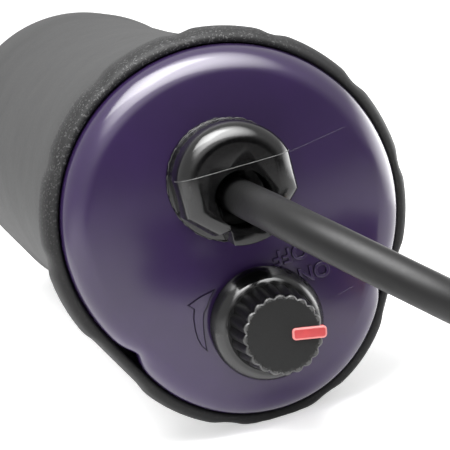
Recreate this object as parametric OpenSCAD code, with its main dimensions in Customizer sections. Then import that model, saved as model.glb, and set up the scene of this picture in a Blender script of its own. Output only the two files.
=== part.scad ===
// Hand-held violet ray machine: a mains-driven spark-coil handpiece with a moulded end cap,
// a cord gland, a control knob and a rubber grip sleeve, opened up into its pieces.
// It lies on its grip, nose towards +Y. Each piece is drawn in the handpiece's own frame
// (x right, y down, z towards the nose, z = 0 at the rear edge of the sleeve) and then laid down.

/* [End cap] */
// Radius of the main dome of the end cap
cap_r = 27; // [25:0.5:30]
// Radius of the small lower dome
lobe_r = 22; // [21:0.5:24]
// Distance from the main axis down to the lower dome's axis
lobe_drop = 10.2; // [9:0.2:12]
// Height of the domes behind the sleeve's edge
dome_h = 6.5; // [6:0.1:8]
// Radius of the domes' rounded edge
dome_edge = 5; // [4:0.1:5.5]
// Wall of the cap under the domes
cap_wall = 2.4; // [1.8:0.1:3]
// Depth of the cap's skirt inside the sleeve's lip
cap_skirt = 6; // [5:0.5:8]
// Depth of the cap's spigot inside the housing
spigot_len = 6; // [4:0.5:8]
// Wall of the cap's spigot
spigot_wall = 2; // [1.5:0.1:2.5]

/* [Grip sleeve] */
// Length of the sleeve
grip_len = 178; // [170:1:195]
// Wall of the sleeve's lip round the cap
lip_wall = 2.1; // [1.6:0.1:2.6]
// Length of the lip
lip_len = 7.6; // [6:0.1:8]
// How far the grip is drawn in behind the lip
waist_in = 2.2; // [1.6:0.1:2.6]
// Wall of the sleeve at its waist
sleeve_wall = 2; // [1.4:0.1:2.4]
// How far the front bead stays inside the lip's radius
bead_in = 0.3; // [0.2:0.05:0.5]
// Height of the raised pads round the lip
pad_h = 0.4; // [0.2:0.05:0.6]
// Depth of the flat that the sleeve lies on, cut into the lip
rest_cut = 0.6; // [0.5:0.05:0.8]

/* [Housing] */
// Wall of the two housing shells
housing_wall = 2.2; // [1.8:0.1:2.6]
// Diameter of the screws that hold the shells together
screw_d = 2.9; // [2.2:0.1:3]
// Diameter of the screw heads
screw_head_d = 5; // [4.6:0.1:5.4]
// Outer diameter of the screw bosses
boss_d = 6; // [5.8:0.1:6.2]

/* [Nose] */
// Length of the nose in front of the sleeve
nose_len = 58; // [54:1:70]
// Radius of the nose at its tip
tip_r = 12; // [11:0.5:14]
// Thickness of the nose's shoulder
shoulder_t = 4; // [3:0.5:6]
// Bore of the electrode socket
socket_d = 11.2; // [10.5:0.1:12]
// Depth of the electrode socket
socket_depth = 32; // [28:1:36]
// Wall of the electrode socket
socket_wall = 1.5; // [1.2:0.1:2]

/* [Knob] */
// Distance from the main axis down to the knob's axis
knob_drop = 16.7; // [16:0.1:17.5]
// Diameter of the knob's skirt
knob_d = 18; // [16:0.5:18.5]
// Diameter of the knob's top
knob_top_d = 12.4; // [11.6:0.2:13]
// Height of the knob
knob_h = 12; // [11:0.5:14]
// Height of the knob's skirt
knob_skirt_h = 4.2; // [3.5:0.1:5]
// Number of flutes round the knob
knob_flutes = 20; // [16:1:24]
// Width of the pointer
pointer_w = 1.9; // [1.4:0.1:2.4]
// Angle of the pointer at rest, from the right, anticlockwise from the rear
pointer_angle = -11; // [-40:1:40]

/* [Cord gland] */
// Distance from the main axis up to the gland's axis
gland_rise = 6.5; // [6:0.1:7]
// Diameter of the gland's flange
gland_d = 19.2; // [18.5:0.1:20]
// Height of the gland's head on its flange
gland_h = 8.5; // [7.5:0.1:10]
// Diameter of the mouth that the cord comes out of
mouth_d = 9; // [8.4:0.1:9.6]
// Depth of the mouth
mouth_depth = 6; // [4:0.5:7]
// Distance from the gland's axis down to the cord's axis
mouth_drop = 2.2; // [1.8:0.1:2.6]

/* [Cord] */
// Diameter of the mains cord
cord_d = 5.6; // [5.4:0.1:6.4]
// Length of the straight runs of the cord's hank
run_len = 90; // [86:1:120]
// Loops in the hank
hank_loops = 4; // [2:2:4]
// Radius of the tightest fold in the hank
fold_r = 18.6; // [18.6:0.1:22]
// How far the tie draws each side of the hank in
waist_draw = 12; // [8:0.5:12]
// Gap between neighbouring turns of the hank
turn_gap = 1; // [0.9:0.05:1.2]
// Thickness of the tie round the hank
tie_t = 1; // [0.8:0.1:1.4]
// Width of the tie
tie_w = 12; // [8:1:16]
// Width of the plug's body
plug_w = 25; // [23:0.5:28]
// Height of the plug's body
plug_h = 16; // [14:0.5:18]
// Length of the plug's body
plug_len = 30; // [26:1:36]
// Length of the plug's tapered tail
plug_tail = 22; // [20:1:30]

/* [Control] */
// Diameter of the spindle in its bush
spindle_d = 6; // [5.6:0.1:6.2]
// Diameter of the spindle's threaded end
thread_d = 5; // [4.6:0.1:5]
// Diameter of the bush through the cap
bush_d = 10; // [9.6:0.1:10.4]
// Thickness of the control frame's plates
frame_t = 1.5; // [1.2:0.1:2]
// Clear width between the control frame's rails
rail_gap = 17; // [16.6:0.1:17.4]
// Length of the control frame inside the cap
frame_len = 34; // [33.6:0.1:34.2]
// Thickness of the contact carrier
carrier_t = 7; // [6:0.5:8]
// Distance from the main axis down to the contacts
contact_drop = 9; // [8.6:0.1:9.2]
// Gap between the contacts with the knob at rest
contact_gap = 0.72; // [0.72:0.02:0.9]

/* [Interrupter] */
// Diameter of the magnet's core
core_d = 8; // [7:0.1:8.6]
// Length of the magnet's core
core_len = 30; // [28:0.5:31]
// Diameter of the bobbin's flanges
bobbin_d = 20; // [18:0.5:20]
// Distance from the main axis up to the magnet's axis
magnet_rise = 2; // [1.6:0.1:2.4]
// Width of the reed
reed_w = 10; // [8:0.5:11]
// Thickness of the reed
reed_t = 0.5; // [0.4:0.05:0.6]
// Thickness of the armature on the reed
armature_t = 2; // [1.6:0.1:2.4]
// Gap between the armature and the core at rest
pole_gap = 0.8; // [0.75:0.05:1]
// Thickness of the board that carries the interrupter
board_t = 2; // [1.6:0.1:2.4]
// Length of the board
board_len = 64; // [62:0.5:66]

/* [Resonator] */
// Diameter of the coil former
former_d = 28; // [26:0.5:30]
// Wall of the coil former
former_wall = 2; // [1.5:0.1:2.5]
// Length of the coil former between its cheeks
former_len = 58; // [54:1:60]
// Thickness of the former's cheeks
cheek_t = 2.5; // [2:0.1:3]
// Diameter of the primary winding
primary_d = 34; // [33:0.5:37]
// Length of the primary winding
primary_len = 12; // [10:0.5:14]
// Gap between the primary and the secondary winding
winding_gap = 4; // [3:0.5:5]
// Diameter of the secondary winding's sections
secondary_d = 40; // [36:0.5:42]
// Number of sections in the secondary winding
secondary_sections = 5; // [3:1:6]

/* [Fits] */
// Radial clearance of the shafts that turn
run_fit = 0.05; // [0.03:0.01:0.08]
// Clearance of the pieces that slide in or over each other
fit = 0.1; // [0.08:0.01:0.15]
// Clearance of the sleeve on the housing and of the cap in the sleeve
skin_fit = 0.2; // [0.15:0.01:0.25]

/* [Hidden] */
$fn = 96;
eps = 0.01;
lobe_step = cap_r - lobe_r;
lean = asin(lobe_step / lobe_drop);
// Radii of the stacked skins, each of the main arc of its outline
lip_in_r = cap_r + skin_fit;
lip_r = lip_in_r + lip_wall;
waist_r = lip_r - waist_in;
sleeve_in_r = waist_r - sleeve_wall;
housing_r = sleeve_in_r - skin_fit;
housing_in_r = housing_r - housing_wall;
spigot_r = housing_in_r - skin_fit;
spigot_in_r = spigot_r - spigot_wall;
bead_r = lip_r - bead_in;
// Stations of the sleeve
lip_round = 0.8;
lip_seat = cap_skirt + 0.5;
waist_z = lip_len + 5;
bead_len = 18;
bead_z = grip_len - bead_len - 8;
// The cap's domes: sides, rounding of the notch between them outside and inside, end of the rounded edge
dome_sides = 96;
notch_soft = 0.4;
notch_dip = 1;
notch_run = 1.4;
inner_soft = 5;
edge_end = 82;
edge_steps = [for (u = [0 : 1 / 6 : 1.01]) edge_end * u];
star_y = lobe_drop / 2;
// Stations along the handpiece
pocket_z = cap_wall - dome_edge;
housing_z = cap_skirt;
tip_z = grip_len + nose_len;
knob_gap = 0.5;
knob_z = -dome_h - knob_gap;
pointer_proud = 0.3;
rear_z = knob_z - knob_h - pointer_proud;
rear_y = -(rear_z + tip_z) / 2;
axis_h = lobe_drop + lip_r - lobe_step - rest_cut;
// Gland
gland_seat_z = 0.9 - dome_h;
gland_flange_t = 1.3;
gland_top_z = gland_seat_z - gland_flange_t;
gland_face_z = gland_top_z - gland_h;
gland_part_y = -mouth_d / 2 + mouth_drop - 0.5;
gland_head_r = gland_d / 2 - 0.3;
gland_stem_r = 7.4;
gland_slot = cord_d + 0.6;
cord_y = mouth_drop - gland_rise;
cord_exit_z = gland_face_z + mouth_depth;
tail_end_z = 4;
// Control stations
bush_seat_z = 0.5 - dome_h;
bush_flange_t = 0.8;
washer_t = 0.8;
nut_t = 3;
nut_flats = 14;
bush_end_z = frame_t + washer_t + nut_t + 1.7;
clip_t = 0.8;
clip_z = bush_end_z + fit;
clip_in_r = spindle_d / 2 - 0.6;
knob_bore = 9;
rail_h = 9;
carrier_z = 20;
contact_r = 1.5;
contact_len = 3;
contact_root_z = carrier_z + carrier_t / 2;
contact_z = carrier_z + carrier_t + contact_len;
// Interrupter stations
button_t = 0.8;
reed_z = contact_z + contact_gap + button_t;
reed_play = 0.12;
armature_z = reed_z + reed_t;
pole_z = armature_z + armature_t + pole_gap;
clamp_y = -15.5;
clamp_half = 3;
clamp_t = 1.5;
yoke_t = 2.5;
yoke_back_z = pole_z + core_len - yoke_t;
bobbin_z = pole_z + 1.2;
bobbin_wall = 1.1;
bobbin_flange_t = 1.5;
reed_screw_x = 3;
reed_screw_r = 1.2;
leg_y = -magnet_rise - bobbin_d / 2 - 1.5;
clamp_side = 6;
lug_z = armature_z + reed_play;
lug_t = 2;
yoke_half = 8;
foot_len = 10;
foot_screw_x = 5;
foot_screw_z = yoke_back_z + 7;
foot_screw_r = 1.2;
board_y = 12;
board_z = 36;
// Resonator stations
board_half = (housing_in_r - (board_y + board_t) * sin(lean)) / cos(lean) - 0.4;
capacitor_z = yoke_back_z + foot_len + 2;
capacitor_end_z = board_z + board_len - 1;
capacitor_w = 24;
capacitor_h = 18;
cheek_gap = 4;
cheek_z = board_z + board_len + cheek_gap;
cheek_r = housing_in_r - skin_fit;
cheek_spigot = 4;
former_z = cheek_z + cheek_t;
former_in_r = former_d / 2 - former_wall;
cheek2_z = former_z + former_len;
nose_seat = 3;
nose_spigot_z = cheek2_z + cheek_t + nose_seat;
winding_edge = 2;
hv_lead_r = 1;
socket_r = socket_d / 2;
socket_or = socket_r + socket_wall;
seal_t = 2;
socket_z = tip_z - seal_t - socket_depth;
socket_floor = 2;
stud_r = 2.5;
stud_len = 8;
button_r = 3;
button_well = 4;
stud_z = socket_z - socket_floor - stud_len;
seal_r = socket_or + 1.6;
// Screws across the housing: height below the axis, station
screw_top_y = -19.6;
screw_low_y = 24.2;
housing_screw_places = [
    [screw_top_y, board_z + 12], [screw_top_y, cheek_z - 8],
    [screw_low_y, board_z + 10], [screw_low_y, cheek_z - 6], [screw_low_y, cheek2_z - 14.5]
];
screw_reach = 9;
screw_head_x = 6;
cap_screw_z = cap_skirt + spigot_len / 2;
cap_screw_out = housing_r - 0.4;
// Terminal block under the housing's top
terminal_y = -20;
terminal_z = 15;
terminal_len = 13;
terminal_h = 8.5;
// Pads round the lip: on the main arc and on the lower arc
pads_main = 8;
pads_lobe = 3;
pad_steps = [[0, 0], [0.05, 0], [0.1, 1], [0.3, 1], [0.5, 1], [0.7, 1], [0.9, 1], [0.95, 0]];
// Cord: the free stretch's points in the laid-down frame, then the hank on the floor behind it
tie_gap = 0.3;
hank_x = 4.4;
hank_near_y = -230;
hank_far_y = hank_near_y - run_len;
turn_pitch = cord_d + turn_gap;
layer_pitch = cord_d + 0.6;
hank_low_z = tie_t + tie_gap + cord_d / 2;
hank_high_z = hank_low_z + layer_pitch;
hank_r = fold_r + turn_pitch * (2 * hank_loops - 1) / 4;
hank_folds = 2 * hank_loops + 1;
fold_rings = 8;
run_rings = 8;
hank_sides = 6;
cord_sides = 10;
plug_lead = 22;
pin_w = 6.4;
pin_t = 1.5;
pin_len = 17;
pin_root = 4;
pin_gap = 12.7;
cord_exit = [0, rear_y + cord_exit_z, axis_h - cord_y];
lead_in = [0, -15, 0];
free_points = [
    [0.6, -139.8, 37.7], [2.2, -146.6, 36.2], [4.8, -152.7, 33.9], [8.4, -158, 30.7], [12.7, -163.6, 26.9],
    [16.4, -171, 23.7], [18.8, -180.2, 21.9], [19.6, -191, 21.5], [19.2, -202, 21.5], [17.5, -214, 21.4],
    [14.4, -226, 21.2], [9.8, -237.4, 21], [4.2, -248, 20.8], [-1.8, -258.4, 20.6], [-8, -268.4, 20.2],
    [-13.8, -278, 19.2], [-18.8, -287.6, 17.4], [-22.6, -296.8, 14.6], [-24.8, -305.6, 11.9]
];

// Lays a piece down from the handpiece's own frame
module along() {
    translate([0, rear_y, axis_h]) rotate([-90, 0, 0]) children();
}

// Outline with a large round top, a small round bottom and flat sides
module oval(r) {
    small = r - lobe_step;
    circle(r);
    translate([0, lobe_drop]) circle(small);
    polygon([
        [r * cos(lean), r * sin(lean)],
        [small * cos(lean), lobe_drop + small * sin(lean)],
        [-small * cos(lean), lobe_drop + small * sin(lean)],
        [-r * cos(lean), r * sin(lean)]
    ]);
}

// A stretch of the oval from one station to another
module oval_bar(r, z1, z2) {
    translate([0, 0, z1]) linear_extrude(z2 - z1) oval(r);
}

// A round bar between two stations
module bar(r, z1, z2) {
    translate([0, 0, z1]) cylinder(r = r, h = z2 - z1);
}

// A tube between two stations
module tube(r, r_in, z1, z2) {
    difference() {
        bar(r, z1, z2);
        bar(r_in, z1 - 1, z2 + 1);
    }
}

// A box given by its two corners
module block(low, high) {
    translate(low) cube(high - low);
}

// Half profile of a slab with a rounded upper edge: top at -edge, down to base
module slab_profile(r, edge, base) {
    square([r, base]);
    translate([0, -edge]) square([r - edge, edge]);
    translate([r - edge, 0]) intersection() {
        circle(edge);
        translate([0, -edge]) square(edge);
    }
}

// Unit vector, and the frame of a tube along a path
function unit(v) = v / norm(v);
function heading(path, i) = unit(path[min(i + 1, len(path) - 1)] - path[max(i - 1, 0)]);
function side(t) = unit(cross(t, [0, 0, 1]));
function ring(p, t, r, n) = [
    for (k = [0 : n - 1]) p + r * (cos(360 * k / n) * side(t) + sin(360 * k / n) * cross(side(t), t))
];
function flat_list(lists) = [for (l = lists) each l];
function path_length(path) = len(path) < 2 ? 0
    : [for (i = 1, s = norm(path[1] - path[0]); i < len(path);
        i = i + 1, s = s + (i < len(path) ? norm(path[i] - path[i - 1]) : 0)) s][len(path) - 2];

// A closed round tube along a path
module tube_along(path, r, n) {
    count = len(path);
    points = flat_list([for (i = [0 : count - 1]) ring(path[i], heading(path, i), r, n)]);
    sides = [
        for (i = [0 : count - 2], k = [0 : n - 1])
            let (a = i * n + k, b = i * n + (k + 1) % n)
            each [[a, b, a + n], [b, b + n, a + n]]
    ];
    last = (count - 1) * n;
    caps = [
        for (k = [1 : n - 2]) each [[0, k + 1, k], [last, last + k, last + k + 1]]
    ];
    polyhedron(points, concat(sides, caps));
}

// Outline of the sleeve at one station, with the pads raised by a share of their height
function arc_points(r, rise, centre_y, from, to, pads) = [
    for (p = [0 : pads - 1], s = pad_steps)
        let (t = from + (to - from) * (p + s[0]) / pads, q = r + rise * s[1])
        [q * cos(t), centre_y + q * sin(t)]
];
function sleeve_outline(r, rise) = concat(
    arc_points(r, rise, 0, lean, -180 - lean, pads_main),
    arc_points(r - lobe_step, rise, lobe_drop, 180 - lean, lean, pads_lobe)
);

// Stations of the sleeve's skin: z, radius, share of the pads, out to the front and back inside
sleeve_stations = [
    [0, lip_r - 1.3 * lip_round, 0], [lip_round / 2, lip_r - 0.9 * lip_round, 0.5],
    [lip_len / 4, lip_r - lip_round / 2, 0.8], [lip_len / 2, lip_r - lip_round / 8, 1],
    [lip_len - 1.6, lip_r, 1], [lip_len - 0.4, lip_r - 0.3, 0.7],
    [lip_len + 1.2, lip_r - 0.6 * waist_in, 0.3],
    [waist_z - 1.8, waist_r + 0.2, 0], [waist_z + 1, waist_r, 0], [grip_len / 4, waist_r - 0.2, 0],
    [grip_len / 2, waist_r, 0], [bead_z - 22, waist_r + 0.35 * waist_in, 0], [bead_z - 6, bead_r - 0.35, 0],
    [bead_z, bead_r, 0], [bead_z + bead_len, bead_r, 0], [grip_len - 4, bead_r - 0.5, 0],
    [grip_len - 1.2, bead_r - 1.6, 0], [grip_len, bead_r - 3, 0],
    [grip_len, sleeve_in_r, 0], [grip_len / 2, sleeve_in_r, 0], [lip_seat, sleeve_in_r, 0],
    [lip_seat, lip_in_r, 0], [0, lip_in_r, 0]
];

module grip_sleeve() {
    rings = [
        for (s = sleeve_stations) [for (p = sleeve_outline(s[1], s[2] * pad_h)) [p[0], p[1], s[0]]]
    ];
    count = len(rings);
    n = len(rings[0]);
    faces = [
        for (i = [0 : count - 1], k = [0 : n - 1])
            let (a = i * n + k, b = i * n + (k + 1) % n, c = (i + 1) % count * n)
            each [[a, c + k, b], [b, c + k, c + (k + 1) % n]]
    ];
    color("dimgray") difference() {
        along() polyhedron(flat_list(rings), faces);
        translate([-2 * lip_r, rear_y - 1, -5]) cube([4 * lip_r, grip_len + 2, 5]);
    }
}

// One shell of the housing: dir is 1 for the right shell and -1 for the left
module housing_shell(dir) {
    rib = 2.5;
    rib_reach = 5;
    difference() {
        intersection() {
            oval_bar(housing_r, housing_z, grip_len);
            housing_half(dir);
        }
        oval_bar(housing_in_r, housing_z - 1, grip_len + 1);
        cap_screw_bars(screw_d / 2 + fit);
        cap_screw_heads(screw_head_d / 2 - 0.5 + fit, housing_wall);
    }
    // Ribs above and below the board, and the ribs that the terminal block hangs on
    intersection() {
        oval_bar(housing_in_r + eps, board_z, grip_len);
        housing_half(dir);
        union() {
            for (y = [board_y - rib - fit, board_y + board_t + fit]) {
                translate([dir > 0 ? board_half - rib_reach : -housing_r, y, board_z])
                    cube([housing_r - board_half + rib_reach, rib, board_len]);
            }
        }
    }
    intersection() {
        oval_bar(housing_in_r + eps, terminal_z, terminal_z + terminal_len);
        housing_half(dir);
        translate([dir > 0 ? 3 : -6, -housing_r, terminal_z]) cube([3, housing_r + terminal_y, terminal_len]);
    }
    for (place = housing_screw_places) {
        intersection() {
            oval_bar(housing_in_r + eps, place[1] - boss_d, place[1] + boss_d);
            housing_half(dir);
            translate([-housing_r, place[0], place[1]]) rotate([0, 90, 0])
                cylinder(d = boss_d, h = 2 * housing_r);
        }
    }
}

// The half space of one housing shell
module housing_half(dir) {
    translate([dir > 0 ? 0 : -2 * housing_r, -2 * housing_r, 0])
        cube([2 * housing_r, 5 * housing_r, 2 * grip_len]);
}

module housing_left() {
    color("darkslategray") along() difference() {
        housing_shell(-1);
        for (place = housing_screw_places) {
            translate([-screw_reach - 1, place[0], place[1]]) rotate([0, 90, 0])
                cylinder(d = screw_d + 2 * fit, h = screw_reach + 2);
        }
    }
}

module housing_right() {
    color("darkslategray") along() difference() {
        housing_shell(1);
        for (place = housing_screw_places) {
            translate([-1, place[0], place[1]]) rotate([0, 90, 0])
                cylinder(d = screw_d + 2 * fit, h = housing_r);
            translate([screw_head_x, place[0], place[1]]) rotate([0, 90, 0])
                cylinder(d = screw_head_d + 2 * fit, h = housing_r);
        }
    }
}

module housing_screws() {
    head_t = 2;
    color("silver") along() for (place = housing_screw_places) {
        translate([-screw_reach, place[0], place[1]]) rotate([0, 90, 0])
            cylinder(d = screw_d, h = screw_reach + screw_head_x + head_t / 2);
        translate([screw_head_x, place[0], place[1]]) rotate([0, 90, 0])
            cylinder(d = screw_head_d, h = head_t);
    }
}

// Outline of the two domes, drawn in by d, as a reach from a point between their axes.
// soft rounds the notch where they meet, dip sinks it.
function ray_hit(centre_y, r, t) = let (o = centre_y - star_y) o * sin(t) + sqrt(r * r - pow(o * cos(t), 2));
function soft_max(a, b, k) = max(a, b) + pow(max(k - abs(a - b), 0), 2) / (4 * k);
function cap_reach(t, d, soft, dip) = let (a = ray_hit(0, cap_r - d, t), b = ray_hit(lobe_drop, lobe_r - d, t))
    soft_max(a, b, soft) - dip * pow(max(1 - abs(a - b) / notch_run, 0), 2);
function cap_ring(d, soft, dip, share, z) = [
    for (i = [0 : dome_sides - 1]) let (t = 360 * i / dome_sides, q = share * cap_reach(t, d, soft, dip))
        [q * cos(t), star_y + q * sin(t), z]
];

// The two pillow domes in one skin: skirt, rounded edge, then a low crown
module cap_dome() {
    edge_z = -dome_edge * sin(edge_end);
    edge_d = dome_edge * (1 - cos(edge_end));
    rings = concat(
        [cap_ring(0, notch_soft, notch_dip, 1, cap_skirt)],
        [for (a = edge_steps) let (u = a / edge_end)
            cap_ring(dome_edge * (1 - cos(a)), notch_soft + (inner_soft - notch_soft) * pow(u, 3),
                notch_dip * pow(1 - u, 2), 1, -dome_edge * sin(a))],
        [for (q = [0.8, 0.6, 0.4, 0.2])
            cap_ring(edge_d, inner_soft, 0, q, edge_z - (dome_h + edge_z) * (1 - q * q))]
    );
    n = dome_sides;
    count = len(rings);
    points = concat(flat_list(rings), [[0, star_y, cap_skirt], [0, star_y, -dome_h]]);
    sides = [
        for (i = [0 : count - 2], k = [0 : n - 1]) let (a = i * n + k, b = i * n + (k + 1) % n)
            each [[a, b, a + n], [b, b + n, a + n]]
    ];
    fans = [
        for (k = [0 : n - 1]) let (last = (count - 1) * n)
            each [[count * n, (k + 1) % n, k], [count * n + 1, last + k, last + (k + 1) % n]]
    ];
    polyhedron(points, concat(sides, fans));
}

module end_cap() {
    boss_r = bush_d / 2 + 3;
    color("indigo") along() difference() {
        union() {
            cap_dome();
            oval_bar(spigot_r, 0, cap_skirt + spigot_len);
        }
        difference() {
            oval_bar(spigot_in_r, pocket_z, cap_skirt + spigot_len + 1);
            translate([0, knob_drop, 0]) bar(boss_r, pocket_z - 1, 0);
            translate([0, -gland_rise, 0]) bar(gland_stem_r + 3, pocket_z - 1, 0);
        }
        translate([0, knob_drop, 0]) {
            bar(bush_d / 2 + fit, -dome_h - 1, 1);
            bar(bush_d / 2 + 2 + fit, -dome_h - 1, bush_seat_z);
        }
        translate([0, -gland_rise, 0]) {
            bar(gland_stem_r + fit, -dome_h - 1, 1);
            bar(gland_d / 2 + fit, -dome_h - 1, gland_seat_z);
        }
        cap_screw_bars(screw_d / 2 + fit);
    }
}

// Two screws through the housing into the cap's spigot, hidden under the sleeve
module cap_screw_bars(r) {
    for (dir = [-1, 1]) translate([dir * spigot_in_r, 0, cap_screw_z]) rotate([0, dir * 90, 0])
        cylinder(r = r, h = cap_screw_out - spigot_in_r);
}

module cap_screw_heads(r, reach) {
    head_t = 1;
    for (dir = [-1, 1]) translate([dir * (cap_screw_out - head_t), 0, cap_screw_z]) rotate([0, dir * 90, 0])
        cylinder(r = r, h = head_t + reach);
}

module cap_screws() {
    color("silver") along() {
        cap_screw_bars(screw_d / 2);
        cap_screw_heads(screw_head_d / 2 - 0.5, 0);
    }
}

// Lower half of the gland's head at one height: broad at the flange, narrow at the face
module gland_cheeks(half, low, t) {
    linear_extrude(t) polygon([
        [-half, gland_part_y], [half, gland_part_y], [0.88 * half, 0.5 * low],
        [0.5 * half, low], [-0.5 * half, low], [-0.88 * half, 0.5 * low]
    ]);
}

module gland_upper() {
    slice = 0.5;
    head_edge = 2.6;
    color("black") along() translate([0, -gland_rise, 0]) difference() {
        union() {
            bar(gland_d / 2, gland_top_z, gland_seat_z);
            bar(gland_stem_r, gland_seat_z - eps, 2);
            intersection() {
                translate([0, 0, gland_face_z + head_edge]) rotate_extrude()
                    slab_profile(gland_head_r, head_edge, gland_h - head_edge + eps);
                block([-gland_d, -gland_d, gland_face_z - 1], [gland_d, gland_part_y, gland_seat_z]);
            }
            hull() {
                translate([0, 0, gland_top_z - slice + eps])
                    gland_cheeks(gland_head_r - 0.1, gland_head_r - 0.3, slice);
                translate([0, 0, gland_face_z]) gland_cheeks(mouth_d / 2 + 1.5, gland_head_r - 1.6, slice);
            }
        }
        translate([0, mouth_drop, 0]) {
            bar(mouth_d / 2, gland_face_z - 1, cord_exit_z);
            bar(cord_d / 2 + fit, cord_exit_z - 1, 3);
        }
        block([-gland_slot / 2, mouth_drop, gland_face_z - 1], [gland_slot / 2, gland_d, gland_top_z]);
    }
}

module gland_lower() {
    jaw_back = 0.8;
    half = gland_slot / 2 - fit;
    color("black") along() translate([0, -gland_rise, 0]) difference() {
        intersection() {
            bar(gland_head_r, gland_face_z + jaw_back, gland_top_z);
            block([-half, mouth_drop + 1, gland_face_z], [half, gland_d, 0]);
        }
        translate([0, mouth_drop, 0]) {
            bar(mouth_d / 2, gland_face_z - 1, cord_exit_z);
            bar(cord_d / 2 + fit, cord_exit_z - 1, 3);
        }
    }
}

// The end of the cord inside the gland and the cap
module cord_tail() {
    color("black") along() translate([0, cord_y, 0]) bar(cord_d / 2, cord_exit_z, tail_end_z);
}

// A point of the handpiece's own frame, laid down
function laid(p) = [p[0], rear_y + p[2], axis_h - p[1]];

module supply_leads() {
    lead_r = 1.1;
    lead_x = 1.4;
    straight = 1.2;
    from_z = tail_end_z + straight;
    to_z = terminal_z - straight;
    to_y = terminal_y + terminal_h / 2;
    color("saddlebrown") for (dir = [-1, 1]) {
        tube_along(concat(
            [laid([dir * lead_x, cord_y, tail_end_z])],
            [for (u = [0 : 0.125 : 1]) let (s = u * u * (3 - 2 * u))
                laid([dir * lead_x * (1 + s), cord_y + (to_y - cord_y) * s, from_z + (to_z - from_z) * u])],
            [laid([dir * 2 * lead_x, to_y, terminal_z])]
        ), lead_r, 8);
    }
}

module terminal_block() {
    half = 8;
    bore_r = 1.6;
    color("ivory") along() difference() {
        block([-half, terminal_y, terminal_z], [half, terminal_y + terminal_h, terminal_z + terminal_len]);
        // Wells for the clamping screws
        for (x = [-half / 2, half / 2], z = [terminal_len / 4, terminal_len * 3 / 4]) {
            translate([x, terminal_y + terminal_h / 2 + 1, terminal_z + z]) rotate([-90, 0, 0])
                cylinder(r = bore_r, h = terminal_h);
        }
        // Notch between the two poles
        block([-1, terminal_y + 2, terminal_z - 1],
            [1, terminal_y + terminal_h + 1, terminal_z + terminal_len + 1]);
    }
}

// The hank's runs: even ones on the left, odd ones on the right, in on the upper layer, down along the
// innermost run and out again on the lower layer
function run_reach(k) = hank_r - turn_pitch / 2 * min(k, 2 * hank_loops - k);
function run_x(k) = hank_x + (k % 2 == 0 ? -1 : 1) * run_reach(k);
function ease(u) = u * u * (3 - 2 * u);
function run_height(k, u) = k < hank_loops ? hank_high_z
    : k > hank_loops ? hank_low_z : hank_high_z - layer_pitch * ease(u);
function fold_points(i) = let (
    r = (run_reach(i) + run_reach(i + 1)) / 2,
    x = (run_x(i) + run_x(i + 1)) / 2,
    y = i % 2 == 0 ? hank_far_y : hank_near_y,
    z = i < hank_loops ? hank_high_z : hank_low_z
) [
    for (n = [0 : fold_rings]) let (a = (i % 2 == 0 ? 180 : 0) + 180 * n / fold_rings)
        [x + r * cos(a), y + r * sin(a), z]
];
function draw_at(u) = waist_draw * (1 - cos(360 * u)) / 2;
function run_points(k) = let (dir = k % 2 == 0 ? 1 : -1, from_y = k % 2 == 0 ? hank_near_y : hank_far_y) [
    for (n = [1 : run_rings - 1]) let (u = n / run_rings)
        [run_x(k) + dir * draw_at(u), from_y - dir * run_len * u, run_height(k, u)]
];
hank_start = [run_x(0), hank_far_y + cord_d, hank_high_z];
plug_start = [run_x(hank_folds), hank_near_y + plug_lead, plug_h / 2];
hank_path = concat(
    [hank_start],
    fold_points(0),
    [for (k = [1 : hank_folds - 1]) each concat(run_points(k), fold_points(k))],
    run_points(hank_folds),
    [for (u = [0 : 0.25 : 1]) [plug_start[0], hank_near_y + u * (plug_lead - cord_d),
        hank_low_z + (plug_h / 2 - hank_low_z) * ease(u)]],
    [plug_start]
);
cord_route = concat([cord_exit, cord_exit + lead_in], free_points, [hank_start]);
hank_gap = min([
    for (i = [0 : len(hank_path) - 1], j = [i + fold_rings : 1 : len(hank_path) - 1])
        norm(hank_path[i] - hank_path[j])
]) - cord_d;
echo(hank_least_gap = hank_gap);
echo(cord_length = path_length(cord_route) + path_length(hank_path));

module power_cord() {
    color("dimgray") tube_along(cord_route, cord_d / 2, cord_sides);
}

module cord_hank() {
    color("dimgray") tube_along(hank_path, cord_d / 2, hank_sides);
}

// A strap round the hank's waist
module cord_tie() {
    // The strap's edges lie on the run's stretch beside its middle ring
    edge_u = 0.5 - tie_w / run_len / 2;
    edge_draw = lookup(edge_u, [for (n = [0 : run_rings / 2]) [n / run_rings, draw_at(n / run_rings)]]);
    inner_w = 2 * (hank_r - edge_draw) + turn_pitch / 2 + cord_d + 2 * tie_gap;
    inner_h = layer_pitch + cord_d + 2 * tie_gap;
    corner = cord_d / 2 + tie_gap;
    color("black")
        translate([hank_x + turn_pitch / 4, (hank_near_y + hank_far_y) / 2, (hank_low_z + hank_high_z) / 2])
        rotate([90, 0, 0]) translate([0, 0, -tie_w / 2]) linear_extrude(tie_w) difference() {
            round_box(inner_w + 2 * tie_t, inner_h + 2 * tie_t, corner + tie_t);
            round_box(inner_w, inner_h, corner);
        }
}

// Rectangle with round corners
module round_box(w, h, r) {
    square([w, h - 2 * r], center = true);
    square([w - 2 * r, h], center = true);
    for (x = [-1, 1], y = [-1, 1]) translate([x * (w / 2 - r), y * (h / 2 - r)]) circle(r);
}

// Places a piece of the plug at the hank's end: x right, y up, z along the plug
module at_plug() {
    translate(plug_start) mirror([1, 0, 0]) rotate([90, 0, 180]) children();
}

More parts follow.
